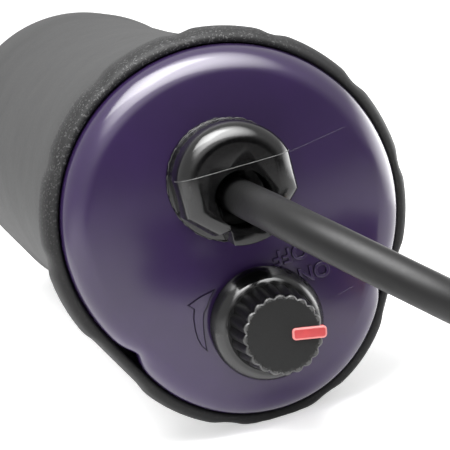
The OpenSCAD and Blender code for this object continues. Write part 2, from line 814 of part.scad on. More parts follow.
module plug_body() {
    corner = 5;
    tail_r = cord_d / 2 + 1.2;
    tail_grow = 2.4;
    ribs = 5;
    rib_t = 2;
    rib_pitch = plug_tail / (ribs + 1);
    shoulder = 10;
    color("black") at_plug() difference() {
        union() {
            cylinder(r1 = tail_r, r2 = tail_r + tail_grow, h = plug_tail);
            for (i = [1 : ribs]) {
                translate([0, 0, i * rib_pitch - rib_t / 2])
                    cylinder(r = tail_r + 1 + tail_grow * i / ribs, h = rib_t);
            }
            hull() {
                translate([0, 0, plug_tail - 1]) cylinder(r = tail_r + tail_grow, h = 1, $fn = 32);
                translate([0, 0, plug_tail + shoulder - 1])
                    linear_extrude(1) round_box(plug_w, plug_h, corner, $fn = 32);
            }
            translate([0, 0, plug_tail + shoulder - eps])
                linear_extrude(plug_len - shoulder) round_box(plug_w, plug_h, corner);
        }
        for (x = [-1, 1]) {
            translate([x * pin_gap / 2, 0, plug_tail + plug_len - pin_root])
                linear_extrude(pin_root + 1) square([pin_t + 2 * fit, pin_w + 2 * fit], center = true);
        }
    }
}

module plug_pins() {
    bevel = 1.2;
    reach = pin_len + pin_root;
    color("gold") at_plug() for (x = [-1, 1]) {
        translate([x * pin_gap / 2 - pin_t / 2, 0, plug_tail + plug_len - pin_root]) rotate([0, 90, 0])
            linear_extrude(pin_t) polygon([
                [0, -pin_w / 2], [0, pin_w / 2], [bevel - reach, pin_w / 2], [-reach, pin_w / 2 - bevel],
                [-reach, bevel - pin_w / 2], [bevel - reach, -pin_w / 2]
            ]);
    }
}

// Places a piece of the knob: x right, y up, z outwards from the knob's underside
module at_knob() {
    along() translate([0, knob_drop, knob_z]) rotate([180, 0, 0]) children();
}

module knob_body() {
    skirt_edge = 1;
    neck_r = knob_d / 2 - 1.7;
    grip_r = neck_r - 0.2;
    taper = atan((grip_r - knob_top_d / 2) / (knob_h - knob_skirt_h));
    flute_r = 1;
    flute_depth = 0.3;
    color("black") at_knob() difference() {
        union() {
            rotate_extrude() polygon([
                [0, 0], [knob_d / 2, 0], [knob_d / 2, skirt_edge], [neck_r, knob_skirt_h], [0, knob_skirt_h]
            ]);
            translate([0, 0, knob_skirt_h - eps])
                cylinder(r1 = grip_r, r2 = knob_top_d / 2, h = knob_h - knob_skirt_h + eps);
        }
        for (i = [0 : knob_flutes - 1]) {
            rotate([0, 0, 360 * (i + 0.5) / knob_flutes])
                translate([grip_r + flute_r - flute_depth, 0, knob_skirt_h])
                rotate([0, -taper, 0]) cylinder(r = flute_r, h = 2 * knob_h, $fn = 32);
        }
        translate([0, 0, -1]) cylinder(d = spindle_d + 2 * run_fit, h = knob_bore + 1 + fit);
        translate([0, 0, -1]) cylinder(r = bush_d / 2 + 2.5, h = 1 + bush_flange_t);
        pointer_bar(fit);
    }
}

// The pointer's bar, let into the knob's top and over its edge; grow widens it for its slot
module pointer_bar(grow) {
    pointer_in = 1.3;
    pointer_depth = 0.9;
    reach = knob_top_d / 2 + 0.5 - pointer_in;
    rotate([0, 0, pointer_angle])
        translate([pointer_in - grow, -pointer_w / 2 - grow, knob_h - pointer_depth - grow])
        cube([reach + 2 * grow, pointer_w + 2 * grow, pointer_depth + pointer_proud + 2 * grow]);
}

module knob_pointer() {
    color("crimson") at_knob() pointer_bar(0);
}

module spindle() {
    groove_w = clip_t + 2 * fit;
    top_z = knob_z - knob_bore;
    color("silver") along() translate([0, knob_drop, 0]) {
        bar(spindle_d / 2, top_z, clip_z - fit / 2);
        bar(clip_in_r - run_fit, clip_z - fit, clip_z + groove_w);
        bar(spindle_d / 2, clip_z + clip_t + fit, clip_z + clip_t + 2);
        bar(thread_d / 2, clip_z + clip_t + 1, frame_len - fit);
    }
}

module retaining_clip() {
    color("slategray") along() translate([0, knob_drop, 0])
        tube(spindle_d / 2 + 1.6, clip_in_r, clip_z, clip_z + clip_t);
}

module spindle_bush() {
    color("goldenrod") along() translate([0, knob_drop, 0]) difference() {
        union() {
            bar(bush_d / 2 + 2, bush_seat_z - bush_flange_t, bush_seat_z);
            bar(bush_d / 2, bush_seat_z - eps, bush_end_z);
        }
        bar(spindle_d / 2 + run_fit, -2 * dome_h, bush_end_z + 1);
    }
}

module bush_washer() {
    color("silver") along() translate([0, knob_drop, 0])
        tube(bush_d / 2 + 3, bush_d / 2 + fit, frame_t, frame_t + washer_t);
}

module bush_nut() {
    nut_z = frame_t + washer_t;
    color("goldenrod") along() translate([0, knob_drop, 0]) difference() {
        translate([0, 0, nut_z]) cylinder(d = nut_flats / cos(30), h = nut_t, $fn = 6);
        bar(bush_d / 2 + run_fit, nut_z - 1, nut_z + nut_t + 1);
    }
}

// Bracket that the bush nut clamps to the cap, with two rails for the contact carrier
module control_frame() {
    half = rail_gap / 2 + frame_t;
    color("gainsboro") along() translate([0, knob_drop, 0]) difference() {
        union() {
            bar(bush_d / 2 + 3, 0, frame_t);
            block([-half, -rail_h / 2, 0], [half, rail_h / 2, frame_t]);
            for (x = [-half, rail_gap / 2]) {
                block([x, -rail_h / 2, 0], [x + frame_t, rail_h / 2, frame_len]);
            }
            block([-half, -rail_h / 2, frame_len - frame_t], [half, rail_h / 2, frame_len]);
        }
        bar(bush_d / 2 + fit, -1, frame_t + 1);
        bar(thread_d / 2 + run_fit, frame_len - frame_t - 1, frame_len + 1);
    }
}

// Nut on the spindle's thread, kept from turning by the rails, with an arm up to the contact
module contact_carrier() {
    half = rail_gap / 2 - fit;
    arm = 4;
    color("wheat") along() difference() {
        union() {
            block([-half, knob_drop - rail_h / 2, carrier_z],
                [half, knob_drop + rail_h / 2, carrier_z + carrier_t]);
            block([-arm, contact_drop - contact_r - 1.5, carrier_z], [arm, knob_drop, carrier_z + carrier_t]);
        }
        translate([0, knob_drop, 0]) bar(thread_d / 2 + run_fit, carrier_z - 1, carrier_z + carrier_t + 1);
        translate([0, contact_drop, 0]) bar(contact_r + run_fit, contact_root_z, contact_z);
    }
}

module fixed_contact() {
    color("lightgray") along() translate([0, contact_drop, 0]) bar(contact_r, contact_root_z, contact_z);
}

module moving_contact() {
    color("lightgray") along() translate([0, contact_drop, 0])
        bar(contact_r + 0.5, reed_z - button_t, reed_z);
}

// The two holes of the reed's clamping screws
module reed_holes(r) {
    for (x = [-reed_screw_x, reed_screw_x]) translate([x, clamp_y, 0]) bar(r, 0, pole_z + 1);
}

module reed() {
    color("lightsteelblue") along() difference() {
        block([-reed_w / 2, clamp_y - clamp_half, reed_z],
            [reed_w / 2, contact_drop + contact_r + 0.7, armature_z]);
        reed_holes(reed_screw_r + 2 * reed_play);
    }
}

module armature() {
    half = 5;
    color("slategray") along() translate([0, -magnet_rise, 0])
        block([-half, -half, armature_z], [half, half, armature_z + armature_t]);
}

module reed_clamp() {
    color("gainsboro") along() difference() {
        block([-clamp_side, clamp_y - clamp_half, reed_z - reed_play - clamp_t],
            [clamp_side, clamp_y + clamp_half, reed_z - reed_play]);
        reed_holes(reed_screw_r + fit);
    }
}

module reed_screws() {
    head_z = reed_z - reed_play - clamp_t;
    color("silver") along() for (x = [-reed_screw_x, reed_screw_x]) {
        translate([x, clamp_y, 0]) {
            bar(reed_screw_r, head_z - eps, lug_z + lug_t);
            bar(reed_screw_r + 1, head_z - 1.4, head_z);
        }
    }
}

// Screw holes of the yoke's foot, through the foot and the board
module foot_holes(r) {
    for (x = [-foot_screw_x, foot_screw_x]) {
        translate([x, board_y - 2 * yoke_t, foot_screw_z]) rotate([-90, 0, 0])
            cylinder(r = r, h = 3 * yoke_t + board_t);
    }
}

module yoke() {
    color("slategray") along() difference() {
        union() {
            block([-yoke_half, leg_y - yoke_t, yoke_back_z], [yoke_half, board_y, yoke_back_z + yoke_t]);
            block([-6, leg_y - yoke_t, lug_z], [6, leg_y, yoke_back_z + yoke_t]);
            block([-6, clamp_y - clamp_half, lug_z], [6, leg_y, lug_z + lug_t]);
            block([-yoke_half, board_y - yoke_t, yoke_back_z], [yoke_half, board_y, yoke_back_z + foot_len]);
        }
        translate([0, -magnet_rise, 0]) bar(core_d / 2 + fit, yoke_back_z - 1, yoke_back_z + yoke_t + 1);
        reed_holes(reed_screw_r + fit);
        foot_holes(foot_screw_r + fit);
    }
}

module yoke_screws() {
    head_t = 1.4;
    color("silver") along() for (x = [-foot_screw_x, foot_screw_x]) {
        translate([x, board_y - yoke_t, foot_screw_z]) rotate([-90, 0, 0]) {
            cylinder(r = foot_screw_r, h = yoke_t + board_t);
            translate([0, 0, -head_t]) cylinder(r = foot_screw_r + 1, h = head_t);
        }
    }
}

module magnet_core() {
    color("gray") along() translate([0, -magnet_rise, 0]) bar(core_d / 2, pole_z, pole_z + core_len);
}

module bobbin() {
    tube_r = core_d / 2 + fit + bobbin_wall;
    color("linen") along() translate([0, -magnet_rise, 0]) difference() {
        union() {
            bar(tube_r, bobbin_z, yoke_back_z);
            bar(bobbin_d / 2, bobbin_z, bobbin_z + bobbin_flange_t);
            bar(bobbin_d / 2, yoke_back_z - bobbin_flange_t, yoke_back_z);
        }
        bar(core_d / 2 + fit, bobbin_z - 1, yoke_back_z + 1);
    }
}

module magnet_winding() {
    inner = core_d / 2 + bobbin_wall + 2 * fit;
    color("peru") along() translate([0, -magnet_rise, 0])
        tube(bobbin_d / 2 - 0.8, inner, bobbin_z + bobbin_flange_t + fit, yoke_back_z - bobbin_flange_t - fit);
}

module chassis_board() {
    color("burlywood") along() difference() {
        block([-board_half, board_y, board_z], [board_half, board_y + board_t, board_z + board_len]);
        foot_holes(foot_screw_r + fit);
    }
}

module capacitor() {
    color("khaki") along() translate([0, board_y - capacitor_h / 2, capacitor_z])
        linear_extrude(capacitor_end_z - capacitor_z) round_box(capacitor_w, capacitor_h, 2);
}

module coil_leads() {
    lead_r = 1;
    color("firebrick") along() for (x = [-capacitor_w / 4, capacitor_w / 4]) {
        translate([x, 0, 0]) bar(lead_r, capacitor_end_z, cheek_z);
    }
}

module cheek_rear() {
    color("burlywood") along() {
        oval_bar(cheek_r, cheek_z, former_z);
        bar(former_in_r - fit, former_z - eps, former_z + cheek_spigot);
    }
}

module cheek_front() {
    color("burlywood") along() difference() {
        union() {
            oval_bar(cheek_r, cheek2_z, cheek2_z + cheek_t);
            bar(former_in_r - fit, cheek2_z - cheek_spigot, cheek2_z + eps);
        }
        bar(hv_lead_r + fit, cheek2_z - cheek_spigot - 1, cheek2_z + cheek_t + 1);
    }
}

module coil_former() {
    color("sienna") along() tube(former_d / 2, former_in_r, former_z, cheek2_z);
}

module primary_winding() {
    color("chocolate") along() tube(primary_d / 2, former_d / 2 + fit, former_z + winding_edge,
        former_z + winding_edge + primary_len);
}

// Fine wire in separate sections, so that neighbouring layers hold off the voltage
module secondary_winding() {
    from = former_z + winding_edge + primary_len + winding_gap;
    to = cheek2_z - winding_edge;
    pitch = (to - from) / secondary_sections;
    groove = 1.6;
    inner = former_d / 2 + fit;
    color("peru") along() {
        tube(inner + 1.2, inner, from, to);
        for (i = [0 : secondary_sections - 1]) {
            tube(secondary_d / 2, inner, from + i * pitch, from + (i + 1) * pitch - groove);
        }
    }
}

module hv_lead() {
    color("firebrick") along() bar(hv_lead_r, cheek2_z - cheek_spigot, stud_z);
}

module nose_cone() {
    neck_z = grip_len + 0.62 * nose_len;
    neck_r = tip_r + 3;
    tip_round = 1.5;
    cavity_r = 15;
    cavity_end = grip_len + 8;
    color("black") along() difference() {
        union() {
            oval_bar(spigot_r, nose_spigot_z, grip_len + eps);
            hull() {
                translate([0, 0, grip_len]) linear_extrude(shoulder_t) oval(bead_r - 3, $fn = 32);
                translate([0, 0, neck_z]) cylinder(r = neck_r, h = 1, $fn = 32);
            }
            rotate_extrude() polygon([
                [0, neck_z], [neck_r, neck_z], [neck_r, neck_z + 1], [tip_r, tip_z - tip_round],
                [tip_r - tip_round, tip_z], [0, tip_z]
            ]);
        }
        bar(cavity_r, nose_spigot_z - 1, cavity_end);
        bar(stud_r + fit, cavity_end - 1, tip_z);
        bar(socket_or + fit, socket_z - socket_floor, tip_z + 1);
        bar(seal_r + fit, tip_z - seal_t, tip_z + 1);
    }
}

module electrode_socket() {
    color("goldenrod") along() difference() {
        union() {
            bar(socket_or, socket_z - socket_floor, tip_z - seal_t);
            bar(stud_r, stud_z, socket_z - socket_floor + eps);
        }
        bar(socket_r, socket_z + button_well, tip_z);
        bar(button_r + 1, socket_z, tip_z);
    }
}

module contact_button() {
    dome_r = 2.4;
    color("gold") along() translate([0, 0, socket_z]) rotate_extrude() {
        square([button_r, 1]);
        translate([0, 1]) intersection() {
            circle(dome_r);
            square(dome_r);
        }
    }
}

module nose_seal() {
    color("dimgray") along() tube(seal_r, socket_r + 0.4, tip_z - seal_t, tip_z);
}

grip_sleeve();
housing_left();
housing_right();
housing_screws();
end_cap();
cap_screws();
gland_upper();
gland_lower();
cord_tail();
supply_leads();
terminal_block();
power_cord();
cord_hank();
cord_tie();
plug_body();
plug_pins();
knob_body();
knob_pointer();
spindle();
retaining_clip();
spindle_bush();
bush_washer();
bush_nut();
control_frame();
contact_carrier();
fixed_contact();
reed();
armature();
moving_contact();
reed_clamp();
reed_screws();
yoke();
yoke_screws();
magnet_core();
bobbin();
magnet_winding();
chassis_board();
capacitor();
coil_leads();
cheek_rear();
cheek_front();
coil_former();
primary_winding();
secondary_winding();
hv_lead();
nose_cone();
electrode_socket();
contact_button();
nose_seal();
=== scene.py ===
"""Finishes, skins, markings and mains cord of a hand-held violet ray machine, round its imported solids."""

import math

import bmesh
import bpy
from mathutils import Matrix, Vector


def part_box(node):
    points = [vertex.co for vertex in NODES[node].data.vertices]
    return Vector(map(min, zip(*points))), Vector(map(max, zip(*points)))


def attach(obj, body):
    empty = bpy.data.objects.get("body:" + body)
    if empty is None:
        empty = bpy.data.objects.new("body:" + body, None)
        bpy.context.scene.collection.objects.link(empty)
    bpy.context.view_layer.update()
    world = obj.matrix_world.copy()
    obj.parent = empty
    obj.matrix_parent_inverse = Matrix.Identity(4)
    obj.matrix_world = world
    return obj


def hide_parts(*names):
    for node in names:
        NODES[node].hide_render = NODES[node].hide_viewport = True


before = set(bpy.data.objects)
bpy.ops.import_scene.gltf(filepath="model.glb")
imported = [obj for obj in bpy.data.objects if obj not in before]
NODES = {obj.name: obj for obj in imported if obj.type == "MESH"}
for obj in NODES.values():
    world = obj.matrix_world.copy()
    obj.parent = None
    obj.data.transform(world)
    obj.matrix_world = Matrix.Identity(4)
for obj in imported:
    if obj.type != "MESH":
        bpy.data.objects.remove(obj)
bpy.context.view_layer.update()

bl_info = {
    "name": "Violet ray handpiece",
    "version": (1, 0, 0),
    "blender": (4, 5, 0),
    "location": "View3D > Sidebar > Handpiece",
    "description": "Builds the finishes, moulded skins, markings and cord of a violet ray handpiece",
    "category": "Object",
}

MM = 0.001

# Places that the solids give: the main axis, the knob's axis, the sleeve's rear edge and the cord's exit
CAP_LOW, CAP_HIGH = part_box("end_cap")
SLEEVE_LOW, SLEEVE_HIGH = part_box("grip_sleeve")
KNOB_LOW, KNOB_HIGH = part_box("knob_body")
TAIL_LOW, TAIL_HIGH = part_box("cord_tail")
FLANGE_LOW, FLANGE_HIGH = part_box("gland_upper")
AXIS_Z = CAP_HIGH.z - (CAP_HIGH.x - CAP_LOW.x) / 2
REAR_Y = SLEEVE_LOW.y
GRIP_LEN = SLEEVE_HIGH.y - SLEEVE_LOW.y
KNOB_Z = (KNOB_LOW.z + KNOB_HIGH.z) / 2
GLAND_Z = (FLANGE_LOW.z + FLANGE_HIGH.z) / 2
CORD_D = TAIL_HIGH.x - TAIL_LOW.x
CORD_EXIT = Vector((0, TAIL_LOW.y, (TAIL_LOW.z + TAIL_HIGH.z) / 2))
PLUG_LOW, PLUG_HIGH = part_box("plug_body")

# The cord's free stretch as its solid lies, in millimetres
FREE_POINTS = [
    (0.6, -139.8, 37.7), (2.2, -146.6, 36.2), (4.8, -152.7, 33.9), (8.4, -158, 30.7), (12.7, -163.6, 26.9),
    (16.4, -171, 23.7), (18.8, -180.2, 21.9), (19.6, -191, 21.5), (19.2, -202, 21.5), (17.5, -214, 21.4),
    (14.4, -226, 21.2), (9.8, -237.4, 21), (4.2, -248, 20.8), (-1.8, -258.4, 20.6), (-8, -268.4, 20.2),
    (-13.8, -278, 19.2), (-18.8, -287.6, 17.4), (-22.6, -296.8, 14.6), (-24.8, -305.6, 11.9),
]
# The arrow beside the knob: reach from the knob's axis in millimetres, angle from the right
ARROW = [
    (10.1, 192), (10.65, 185), (10.95, 178), (11.15, 170), (11.4, 161), (11.5, 154), (12.6, 152),
    (11.2, 143), (9.66, 131.5), (9.6, 141), (9.55, 150), (9.8, 155), (9.75, 162), (9.7, 170),
    (9.75, 178), (9.9, 186),
]

# The words beside the knob: reach of their middle from the knob's axis in millimetres, angle from the right
WORDS = [("ON", 11.0, 30), ("OFF", 11.3, 55)]
# Flow lines of the moulding: both ends, right of and below the main axis, in millimetres
FLOW_LINES = [((10.2, -7.9), (20.2, -9.2)), ((12.6, 16.1), (15.2, 15.5))]
# Height of a capital as a share of the font's size
CAPITAL_SHARE = 0.7
# Distance below which a copied or built mesh's points are one point
MERGE = 1e-6
# Where light and cards point: the middle of the main dome's rim
CAP_MIDDLE = (0, REAR_Y, AXIS_Z)
# Cards that only reflections see: name, place, what they face, width, height and light
CARDS = [
    ("top card", (0.02, -0.4, 0.6), CAP_MIDDLE, 1.1, 1.1, 16.0),
    ("front flag", (0.12, -0.92, 0.2), CAP_MIDDLE, 1.9, 1.2, 0.03),
    ("upper card", (-0.08, -0.7, 0.42), CAP_MIDDLE, 0.9, 0.5, 2.2),
    ("right card", (0.11, -0.08, 0.03), CAP_MIDDLE, 0.24, 0.09, 7.0),
    ("left card", (-0.13, -0.15, 0.03), CAP_MIDDLE, 0.2, 0.09, 2.5),
    ("floor flag", (0.25, -0.4, 0.017), (0.25, -0.4, 1), 0.9, 0.66, 0.05),
]


def size_property(name, description, default):
    """A property for a length."""
    return bpy.props.FloatProperty(name=name, description=description, default=default, unit="LENGTH")


def colour_property(name, description, default):
    """A property for a colour."""
    return bpy.props.FloatVectorProperty(
        name=name, description=description, default=default, subtype="COLOR")


class CapSettings(bpy.types.PropertyGroup):
    """Sizes and colours of the end cap and its markings."""

    radius: size_property("Main radius", "Radius of the main dome", 0.027)
    lobe_radius: size_property("Lower radius", "Radius of the lower dome", 0.022)
    lobe_drop: size_property("Lower drop", "Distance between the domes' axes", 0.0102)
    height: size_property("Height", "Height of the domes behind the sleeve", 0.0065)
    edge: size_property("Edge", "Radius of the domes' rounded edge", 0.005)
    edge_end: bpy.props.FloatProperty(
        name="Edge end", description="Angle where the rounded edge meets the crown",
        default=math.radians(82), subtype="ANGLE", unit="ROTATION")
    notch: size_property("Notch", "Rounding of the notch between the domes", 0.0004)
    notch_dip: size_property("Notch depth", "How far the notch is sunk below the domes' outlines", 0.001)
    notch_run: size_property("Notch run", "Distance between the outlines where the notch starts", 0.0014)
    blend: size_property("Blend", "Rounding between the domes' crowns", 0.005)
    skirt: size_property("Skirt", "Depth of the skirt inside the sleeve's lip", 0.006)
    spigot_reach: size_property("Spigot reach", "Depth of the spigot behind the skirt", 0.006)
    spigot_step: size_property("Spigot step", "How far the spigot lies inside the skirt", 0.0061)
    seat_gap: size_property("Seat gap", "Room round the gland in its seat", 0.0001)
    letter_height: size_property("Letters", "Height of the raised letters", 0.0023)
    relief: size_property("Relief", "Height of letters and arrow over the dome", 0.00025)
    letter_bevel: size_property("Letter bevel", "Bevel of the letters' edges", 0.00009)
    letter_weight: size_property("Letter weight", "How far the letters are thickened", 0.00002)
    flow_radius: size_property("Flow lines", "Radius of the flow lines", 0.00002)
    # The arrow's outline is painted shade: a darker rim round its top.
    outline: size_property("Outline", "Width of the painted shade round the arrow's top", 0.00016)
    colour: colour_property("Violet", "Colour of the pearl moulding", (0.021, 0.0066, 0.052))
    shade: colour_property("Deep violet", "Darker flow streaks in the moulding", (0.016, 0.005, 0.04))


class SleeveSettings(bpy.types.PropertyGroup):
    """Sizes and colours of the rubber sleeve."""

    lip_radius: size_property("Lip radius", "Radius of the lip's main arc", 0.0293)
    lip_inner: size_property("Lip bore", "Radius of the lip's inside", 0.0272)
    lip_len: size_property("Lip length", "Length of the lip", 0.0076)
    waist_in: size_property("Waist", "How far the grip is drawn in behind the lip", 0.0022)
    wall: size_property("Wall", "Wall of the sleeve at its waist", 0.002)
    bead_in: size_property("Front bead", "How far the front bead lies inside the lip", 0.0003)
    bead_back: size_property("Bead length", "Length of the front bead", 0.026)
    pad_height: size_property("Pads", "Height of the raised pads", 0.0004)
    colour: colour_property("Rubber", "Colour of the rubber", (0.01, 0.01, 0.0104))
    # This colour serves the dust specks on the lip and the pale sheen painted on the body.
    dust_and_sheen: colour_property("Specks and sheen", "Colour of the painted sheen and dust on the rubber", (0.3, 0.3, 0.3))


class GlandSettings(bpy.types.PropertyGroup):
    """Sizes and colours of the cord gland."""

    flange_radius: size_property("Flange", "Radius of the flange", 0.0096)
    stem_radius: size_property("Stem", "Radius of the stem in the cap", 0.0074)
    seat: size_property("Seat", "Where the flange sits on the cap, behind the sleeve's edge", 0.0056)
    flange_top: size_property("Flange top", "Outer face of the flange", 0.0069)
    flange_edge: size_property("Flange edge", "Rounding of the flange's edge", 0.0003)
    stem_depth: size_property("Stem depth", "How far the stem reaches into the sleeve", 0.002)
    face: size_property("Face", "Outer face of the head", 0.0154)
    head_radius: size_property("Head", "Radius of the head's dome", 0.0095)
    edge: size_property("Edge", "Radius of the head's rounded edge", 0.0031)
    part_rise: size_property("Parting line", "Height of the parting line over the gland's axis", 0.0028)
    cheek_drop: size_property("Cheeks", "How far the cheeks reach below the gland's axis", 0.0068)
    corner: size_property("Corner", "Cut at the lower corners of the cheeks", 0.0036)
    mouth_radius: size_property("Mouth", "Radius of the cord's mouth", 0.0045)
    mouth_drop: size_property("Mouth drop", "How far the mouth lies below the gland's axis", 0.0022)
    slot_half: size_property("Slot", "Half the width of the jaw's slot", 0.0031)
    cord_gap: size_property("Cord gap", "Room round the cord in its bore", 0.0001)
    bevel: size_property("Bevel", "Bevel of the head's sharp edges", 0.00018)
    jaw_bevel: size_property("Jaw bevel", "Bevel of the lower jaw's edges", 0.00025)
    ragged: size_property("Ragged", "Swing of the flash round the flange", 0.00005)
    ridge: size_property("Ridge", "Radius of the parting ridge and the flash", 0.00006)
    # The flash colour is a painted highlight on the flash and the parting ridge.
    flash: colour_property("Flash", "Colour of the torn flash and the parting ridge, painted pale as a highlight", (0.1, 0.1, 0.1))


class KnobSettings(bpy.types.PropertyGroup):
    """Sizes and colours of the control knob and its pointer."""

    skirt_d: size_property("Skirt", "Diameter of the skirt", 0.018)
    top_d: size_property("Top", "Diameter of the top", 0.0124)
    height: size_property("Height", "Height of the knob", 0.012)
    skirt_height: size_property("Skirt height", "Height of the skirt", 0.0042)
    flutes: bpy.props.IntProperty(
        name="Flutes", description="Number of flutes round the knob", default=20, min=8, max=40)
    flute_depth: size_property("Flute depth", "Depth of the grooves between the flutes", 0.00042)
    pointer_angle: bpy.props.FloatProperty(
        name="Pointer angle", description="Angle of the pointer at rest, from the right",
        default=math.radians(-11), subtype="ANGLE", unit="ROTATION")
    pointer_width: size_property("Pointer width", "Width of the pointer", 0.0019)
    pointer_start: size_property("Pointer start", "Inner end of the pointer from the axis", 0.0013)
    pointer_past: size_property("Pointer overhang", "How far the pointer runs past the top", 0.0005)
    pointer_thick: size_property("Pointer thickness", "Thickness of the pointer", 0.0012)
    pointer_proud: size_property("Pointer height", "How far the pointer stands over the top", 0.0003)
    pointer_corner: size_property("Pointer corner", "Rounding of the pointer's corners", 0.0006)
    pointer_edge: size_property("Pointer edge", "Rounding of the pointer's rubbed edge", 0.0003)
    bore_radius: size_property("Bore", "Radius of the spindle's bore", 0.0031)
    bore_depth: size_property("Bore depth", "Depth of the spindle's bore", 0.009)
    hollow_radius: size_property("Hollow", "Radius of the hollow under the skirt", 0.0074)
    hollow_depth: size_property("Hollow depth", "Depth of the hollow under the skirt", 0.0009)
    skirt_edge: size_property("Skirt edge", "Bevel at the skirt's foot", 0.0003)
    skirt_lip: size_property("Skirt lip", "Height of the skirt's upright lip", 0.0009)
    neck: size_property("Neck", "How far the skirt's top is wider than the knob's", 0.0011)
    draft: size_property("Draft", "How far the grip's foot is wider than its top", 0.0006)
    well_radius: size_property("Well", "Radius of the cap's well under the knob", 0.0071)
    well_seat: size_property("Well seat", "Floor of the well, behind the sleeve's edge", 0.006)
    well_bore: size_property("Well bore", "Radius of the bore in the well", 0.0051)
    black: colour_property("Black", "Colour of knob and gland", (0.0025, 0.0025, 0.0027))
    top_colour: colour_property("Top colour", "Colour of the matt top", (0.008, 0.0083, 0.0083))
    # The rim colour is a painted highlight on the top's edge.
    rim_highlight_colour: colour_property("Rim", "Paler edge of the top, a painted highlight", (0.07, 0.07, 0.07))
    red: colour_property("Red", "Colour of the pointer", (0.6, 0.055, 0.06))
    pink: colour_property("Pink", "Colour of the pointer's rubbed edge", (0.75, 0.24, 0.23))


class CordSettings(bpy.types.PropertyGroup):
    """Lay and colour of the mains cord."""

    lead_in: size_property("Lead-in", "Straight stretch where the cord leaves the gland", 0.015)
    hank_x: size_property("Hank place", "Middle of the hank across", 0.0044)
    near_y: size_property("Near end", "Where the near folds start", -0.23)
    run: size_property("Run", "Length of the hank's straight runs", 0.09)
    loops: bpy.props.IntProperty(
        name="Loops", description="Loops in the hank", default=4, min=2, max=6)
    fold: size_property("Fold", "Radius of the tightest fold", 0.0186)
    pitch: size_property("Pitch", "Step from turn to turn", 0.0066)
    layer: size_property("Layer", "Step from layer to layer", 0.0062)
    base: size_property("Base", "Height of the lower layer's middle", 0.0041)
    waist: size_property("Waist", "How far the tie draws each side in", 0.012)
    plug_lead: size_property("Plug lead", "Stretch between the hank and the plug", 0.022)
    colour: colour_property("Sheath", "Colour of the sheath", (0.007, 0.007, 0.0072))


class StageSettings(bpy.types.PropertyGroup):
    """Camera, light and floor."""

    camera_place: bpy.props.FloatVectorProperty(
        name="Camera place", description="Where the camera stands", subtype="TRANSLATION", unit="LENGTH",
        default=(-0.05455, -0.42667, 0.08691))
    camera_turn: bpy.props.FloatVectorProperty(
        name="Camera turn", description="Yaw to the right, pitch up and roll of the camera", subtype="EULER",
        unit="ROTATION", default=(math.radians(9.51), math.radians(-9.55), math.radians(-14.65)))
    focal_share: bpy.props.FloatProperty(
        name="Focal share", description="Focal length as a share of the picture's width", default=2075 / 450)
    floor_colour: colour_property("Floor", "Colour of the floor", (0.92, 0.92, 0.92))
    floor_glow: bpy.props.FloatProperty(
        name="Floor glow", description="Light of the floor itself, a backlit sheet", default=0.55)
    fill: bpy.props.FloatProperty(
        name="Fill", description="Strength of the soft light from all sides", default=0.75)
    key: bpy.props.FloatProperty(
        name="Key", description="Power of the softbox overhead", default=5.0, unit="POWER")
    key_place: bpy.props.FloatVectorProperty(
        name="Key place", description="Where the softbox hangs, from under the sleeve's rear edge",
        subtype="TRANSLATION", unit="LENGTH", default=(-0.1, -0.12, 0.62))
    key_width: size_property("Key width", "Width of the softbox", 0.5)
    key_depth: size_property("Key depth", "Depth of the softbox", 0.35)
    picture: bpy.props.IntProperty(
        name="Picture", description="Width and height of the picture in pixels", default=450, min=64)
    floor_half: size_property("Floor size", "Half the floor's side", 4.0)


def ease(share):
    """A soft step from 0 to 1."""
    share = min(1, max(0, share))
    return share * share * (3 - 2 * share)


def here(x, y, z):
    """A point of the handpiece's own frame (right, down, towards the nose) in the world."""
    return Vector((x, REAR_Y + z, AXIS_Z - y))


# Materials


def feed(tree, sockets, values):
    """Links each socket, by name or number, to an output, or sets its own value."""
    for label, value in values.items():
        if isinstance(value, bpy.types.NodeSocket):
            tree.links.new(value, sockets[label])
        else:
            sockets[label].default_value = value


def shader_node(tree, kind, inputs, output, **settings):
    """Adds a node with its settings and inputs and gives one of its outputs."""
    node = tree.nodes.new(f"ShaderNode{kind}")
    for name, value in settings.items():
        setattr(node, name, value)
    feed(tree, node.inputs, inputs)
    return node.outputs[output]


def object_place(tree):
    return shader_node(tree, "TexCoord", {}, "Object")


def noise(tree, place, scale, detail=3.0, roughness=0.5):
    inputs = {"Vector": place, "Scale": scale, "Detail": detail, "Roughness": roughness}
    return shader_node(tree, "TexNoise", inputs, "Fac")


def wave(tree, rows, direction, distortion):
    inputs = {"Vector": object_place(tree), "Scale": rows, "Distortion": distortion}
    return shader_node(tree, "TexWave", inputs, "Fac", bands_direction=direction)


def mix_colour(tree, factor, a, b):
    return shader_node(tree, "Mix", {"Factor": factor, "A": a, "B": b}, "Result", data_type="RGBA")


def map_range(tree, value, low, high, to_low=0.0, to_high=1.0):
    inputs = {"Value": value, "From Min": low, "From Max": high, "To Min": to_low, "To Max": to_high}
    return shader_node(tree, "MapRange", inputs, "Result")


def math_node(tree, operation, a, b):
    return shader_node(tree, "Math", {0: a, 1: b}, "Value", operation=operation)


def scaled(tree, vector, scale):
    return shader_node(tree, "VectorMath", {"Vector": vector, "Scale": scale}, "Vector", operation="SCALE")


def socket_group(name, inputs, outputs):
    """A shader node group, its input sockets (name, kind, default) and its output sockets (name, kind)."""
    tree = bpy.data.node_groups.new(name, "ShaderNodeTree")
    for label, kind, value in inputs:
        socket = tree.interface.new_socket(label, in_out="INPUT", socket_type=f"NodeSocket{kind}")
        socket.default_value = value
    for label, kind in outputs:
        tree.interface.new_socket(label, in_out="OUTPUT", socket_type=f"NodeSocket{kind}")
    return tree, tree.nodes.new("NodeGroupInput").outputs, tree.nodes.new("NodeGroupOutput").inputs


